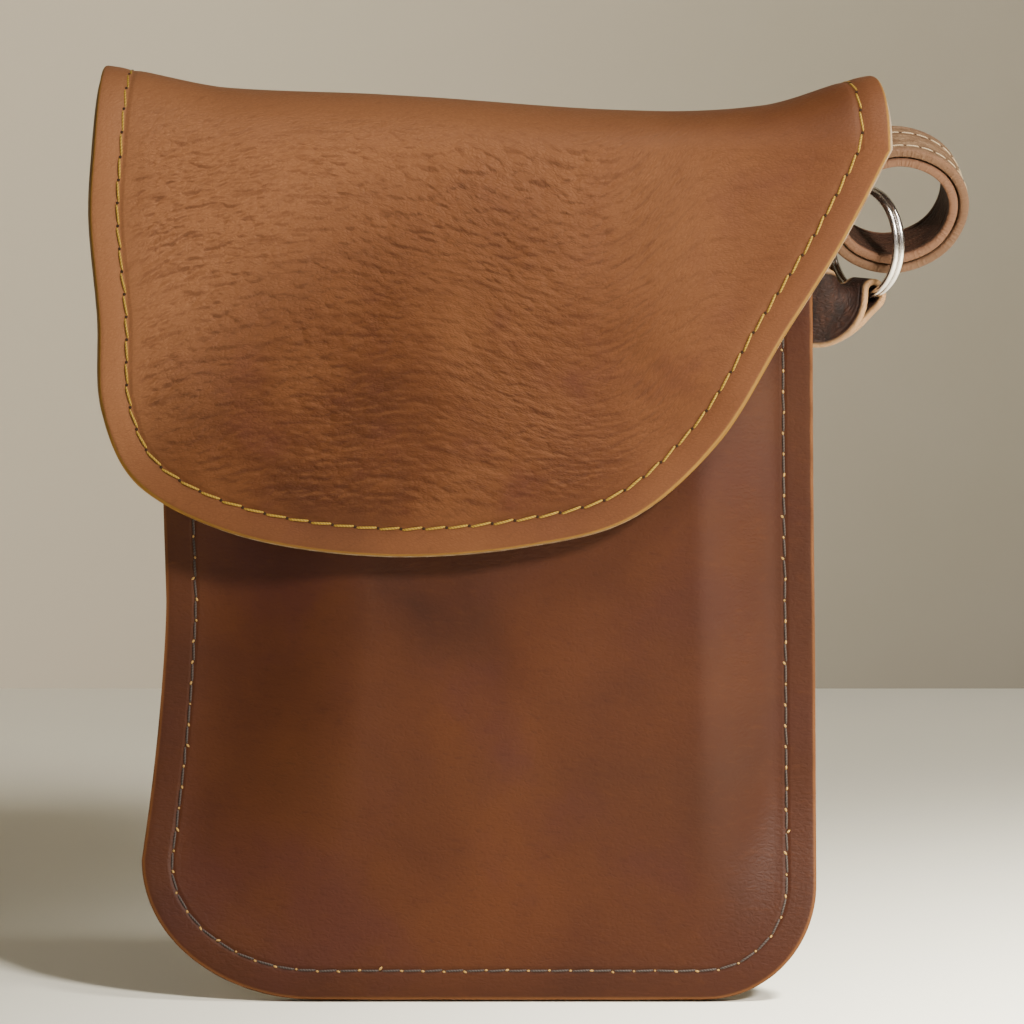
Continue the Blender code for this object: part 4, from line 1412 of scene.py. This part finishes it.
@dataclass
class StrapLoop:
    """Two layers of strap in a closed loop, with two rows of cream thread."""

    finishes: Finishes
    centre: tuple[float, float, float] = (72.15, 6.3, 140.3)
    tilt: float = 25.0
    turn: float = 9.2
    half_width: float = 11.2
    half_height: float = 10.6
    width: float = 9.0
    layer: float = 1.65
    gap: float = 0.3

    def __post_init__(self) -> None:
        """Work out the loop's directions."""
        tilt, turn = math.radians(self.tilt), math.radians(self.turn)
        self.along = np.array([-math.sin(turn) * math.cos(tilt), math.cos(turn) * math.cos(tilt), math.sin(tilt)])
        self.across = np.array([self.along[1], -self.along[0], 0.0])
        self.across /= np.linalg.norm(self.across)
        self.up = -np.cross(self.across, self.along)

    def point(self, angle: Array, offset: Array, along: Array) -> Array:
        """A point of the loop: offset outward from its middle line, and along the strap's width."""
        c, s = np.cos(angle), np.sin(angle)
        nx, nz = c / self.half_width, s / self.half_height
        size = np.hypot(nx, nz)
        return (np.array(self.centre) + (self.half_width * c + offset * nx / size)[:, None] * self.across
                + (self.half_height * s + offset * nz / size)[:, None] * self.up + along[:, None] * self.along)

    def build(self) -> None:
        """Make the layers and the threads."""
        shift = (self.layer + self.gap) / 2
        inner = self.finishes.strap_dark
        self._band("strap_outer", shift, (self.finishes.strap, inner, self.finishes.strap_edge), True)
        self._band("strap_inner", -shift, (inner, inner, self.finishes.strap_edge), False)
        top = shift + self.layer / 2
        self._thread("strap_thread_front", top, -self.width / 2 + 1.7)
        self._thread("strap_thread_back", top, self.width / 2 - 2.6)

    def _band(self, node: str, shift: float, materials: tuple[Material, ...], grain_out: bool) -> None:
        """Make one layer in place of its node.

        Args:
            node: The CAD node.
            shift: How far the layer lies outside the loop's middle line.
            materials: Its grain, flesh side and cut edge.
            grain_out: Whether the grain faces outward.
        """
        def place(around: Array, along: Array) -> Laid:
            """Lay the layer out round the loop and across the strap."""
            angle = 2 * np.pi * around
            wave = 0.12 * np.sin(3 * angle + 1.0) + 0.08 * np.sin(7 * angle)
            points = self.point(angle, np.full(len(angle), shift), (along - 0.5) * self.width + wave)
            edge = self.width * np.minimum(along, 1 - along)
            return points, rows(around * 70.0, along * self.width), edge

        def outward(points: Array) -> Array:
            """Away from the loop's axis for a grain that faces outward, towards it otherwise."""
            away = points - np.array(self.centre)
            away = away - np.outer(away @ self.along, self.along)
            return away if grain_out else -away

        sheet = LeatherSheet(f"{node}_leather", np.linspace(0.0, 1.0, 150), close_to_edge(14, self.width), place,
                             outward, self.layer, 0.5, True)
        stand_in([dress(sheet.build(), *materials)], [node], ride_on("loop"))

    def _thread(self, node: str, top: float, along: float) -> None:
        """Sew one row of short cream stitches along the strap."""
        angle = np.linspace(0.0, 2 * np.pi, 30)
        points, above = (self.point(angle, np.full(30, level), np.full(30, along)) for level in (top, top + 1.0))
        row = StitchRow(f"{node}_sewing", points, above - points, self.finishes.cream, self.finishes.hole,
                        radius=0.16, slant=1.0, seed=31)
        stand_in(row.build(), [node], ride_on("loop"))


@dataclass
class Studio:
    """The floor, the wall, the lights and the camera."""

    aim: tuple[float, float, float] = (5.6, -0.5, 86.0)
    elevation: float = 6.0
    distance: float = 1500.0
    view_width: float = 179.3
    wall: float = 438.0

    def build(self) -> None:
        """Make everything round the pouch."""
        self._sweep()
        self._camera()
        self._light("key", (440.0, -645.0, 530.0), 130.0, 15.5, (1.0, 0.96, 0.88))
        self._light("wash", (300.0, -190.0, 560.0), 120.0, 5.5, (1.0, 0.97, 0.86), (300.0, -120.0, 0.0), 70.0)
        self._light("fill", (-420.0, -700.0, 260.0), 500.0, 0.9, (0.95, 0.97, 1.0))
        world = bpy.data.worlds.new("studio")
        bpy.context.scene.world = world
        world.use_nodes = True
        colour, strength = world.node_tree.nodes["Background"].inputs[:2]
        colour.default_value, strength.default_value = (0.88, 0.84, 0.77, 1.0), 0.11

    def _sweep(self) -> None:
        """A pale floor and a warm grey wall whose colour darkens to the right, a painted shade."""
        for name, left, right, size, location, turn in (
                ("studio_floor", (0.84, 0.81, 0.70), (0.84, 0.81, 0.70), (4.0, 2.0),
                 (0.0, self.wall * MM - 1.0, -0.0004), 0.0),
                ("studio_wall", (0.57, 0.50, 0.395), (0.225, 0.200, 0.155), (4.0, 2.0),
                 (0.0, self.wall * MM, 1.0 - 0.0004), 90.0)):
            bpy.ops.object.select_all(action="DESELECT")
            bpy.ops.mesh.primitive_plane_add(size=1.0, location=location, rotation=(math.radians(turn), 0.0, 0.0))
            obj = bpy.context.object
            obj.name = name
            obj.scale = (*size, 1.0)
            bpy.ops.object.transform_apply(location=False, rotation=False, scale=True)
            r = Recipe(name, roughness=0.9, specular=0.2)
            here = r.place(on_surface=False)
            paper = r.noise(here, 40.0, 3.0)
            # Painted shade: the wall's colour darkens from left to right; the floor's two colours are the same, so it
            # stays even.
            colour = r.mix(r.part(here, 0).between(-0.16, 0.16), left, right)
            dress(obj, r.finish(r.mix(paper * 0.06, colour, (0.5, 0.5, 0.5))))

    def _camera(self) -> None:
        """A long lens in front, a little above the pouch's middle."""
        data = bpy.data.cameras.new("front")
        data.sensor_width = 36.0
        data.lens = 36.0 * self.distance / self.view_width
        data.clip_start, data.clip_end = 0.01, 20.0
        camera = bpy.data.objects.new("front", data)
        bpy.context.scene.collection.objects.link(camera)
        tilt = math.radians(self.elevation)
        back = Vector((0.0, -math.cos(tilt), math.sin(tilt)))
        camera.location = (Vector(self.aim) + back * self.distance) * MM
        camera.rotation_euler = (-back).to_track_quat("-Z", "Y").to_euler()
        bpy.context.scene.camera = camera

    def _light(self, name: str, place: tuple[float, float, float], size: float, power: float, colour: Colour,
               target: tuple[float, float, float] = (0.0, 0.0, 80.0), spread: float = 180.0) -> None:
        """Hang a soft square light.

        Args:
            name: The light's name.
            place: Where it hangs.
            size: The length of its side.
            power: Its power in watts.
            colour: Its colour.
            target: What it faces, the pouch's middle when not given.
            spread: The full angle of its beam.
        """
        data = bpy.data.lights.new(name, "AREA")
        data.size, data.energy, data.color = size * MM, power, colour
        data.spread = math.radians(spread)
        light = bpy.data.objects.new(name, data)
        bpy.context.scene.collection.objects.link(light)
        light.location = Vector(place) * MM
        aim = Vector(target) - Vector(place)
        light.rotation_euler = aim.to_track_quat("-Z", "Y").to_euler()


def corners(bounds: Sequence[Vector]) -> list[list[float]]:
    """A box's corners as plain lists."""
    return [[float(value) for value in corner] for corner in bounds]


def main() -> None:
    """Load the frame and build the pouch's sub-assemblies in order."""
    logging.basicConfig(level=logging.INFO, format="%(name)s %(message)s")
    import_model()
    Studio().build()
    pattern, finishes = Pattern(), Finishes()
    for assembly in (Body(pattern, finishes), Flap(pattern, finishes), Catch(finishes), RingAndTab(finishes),
                     StrapLoop(finishes)):
        assembly.build()
        LOG.info("built %s", type(assembly).__name__)


if __name__ == "__main__":
    main()
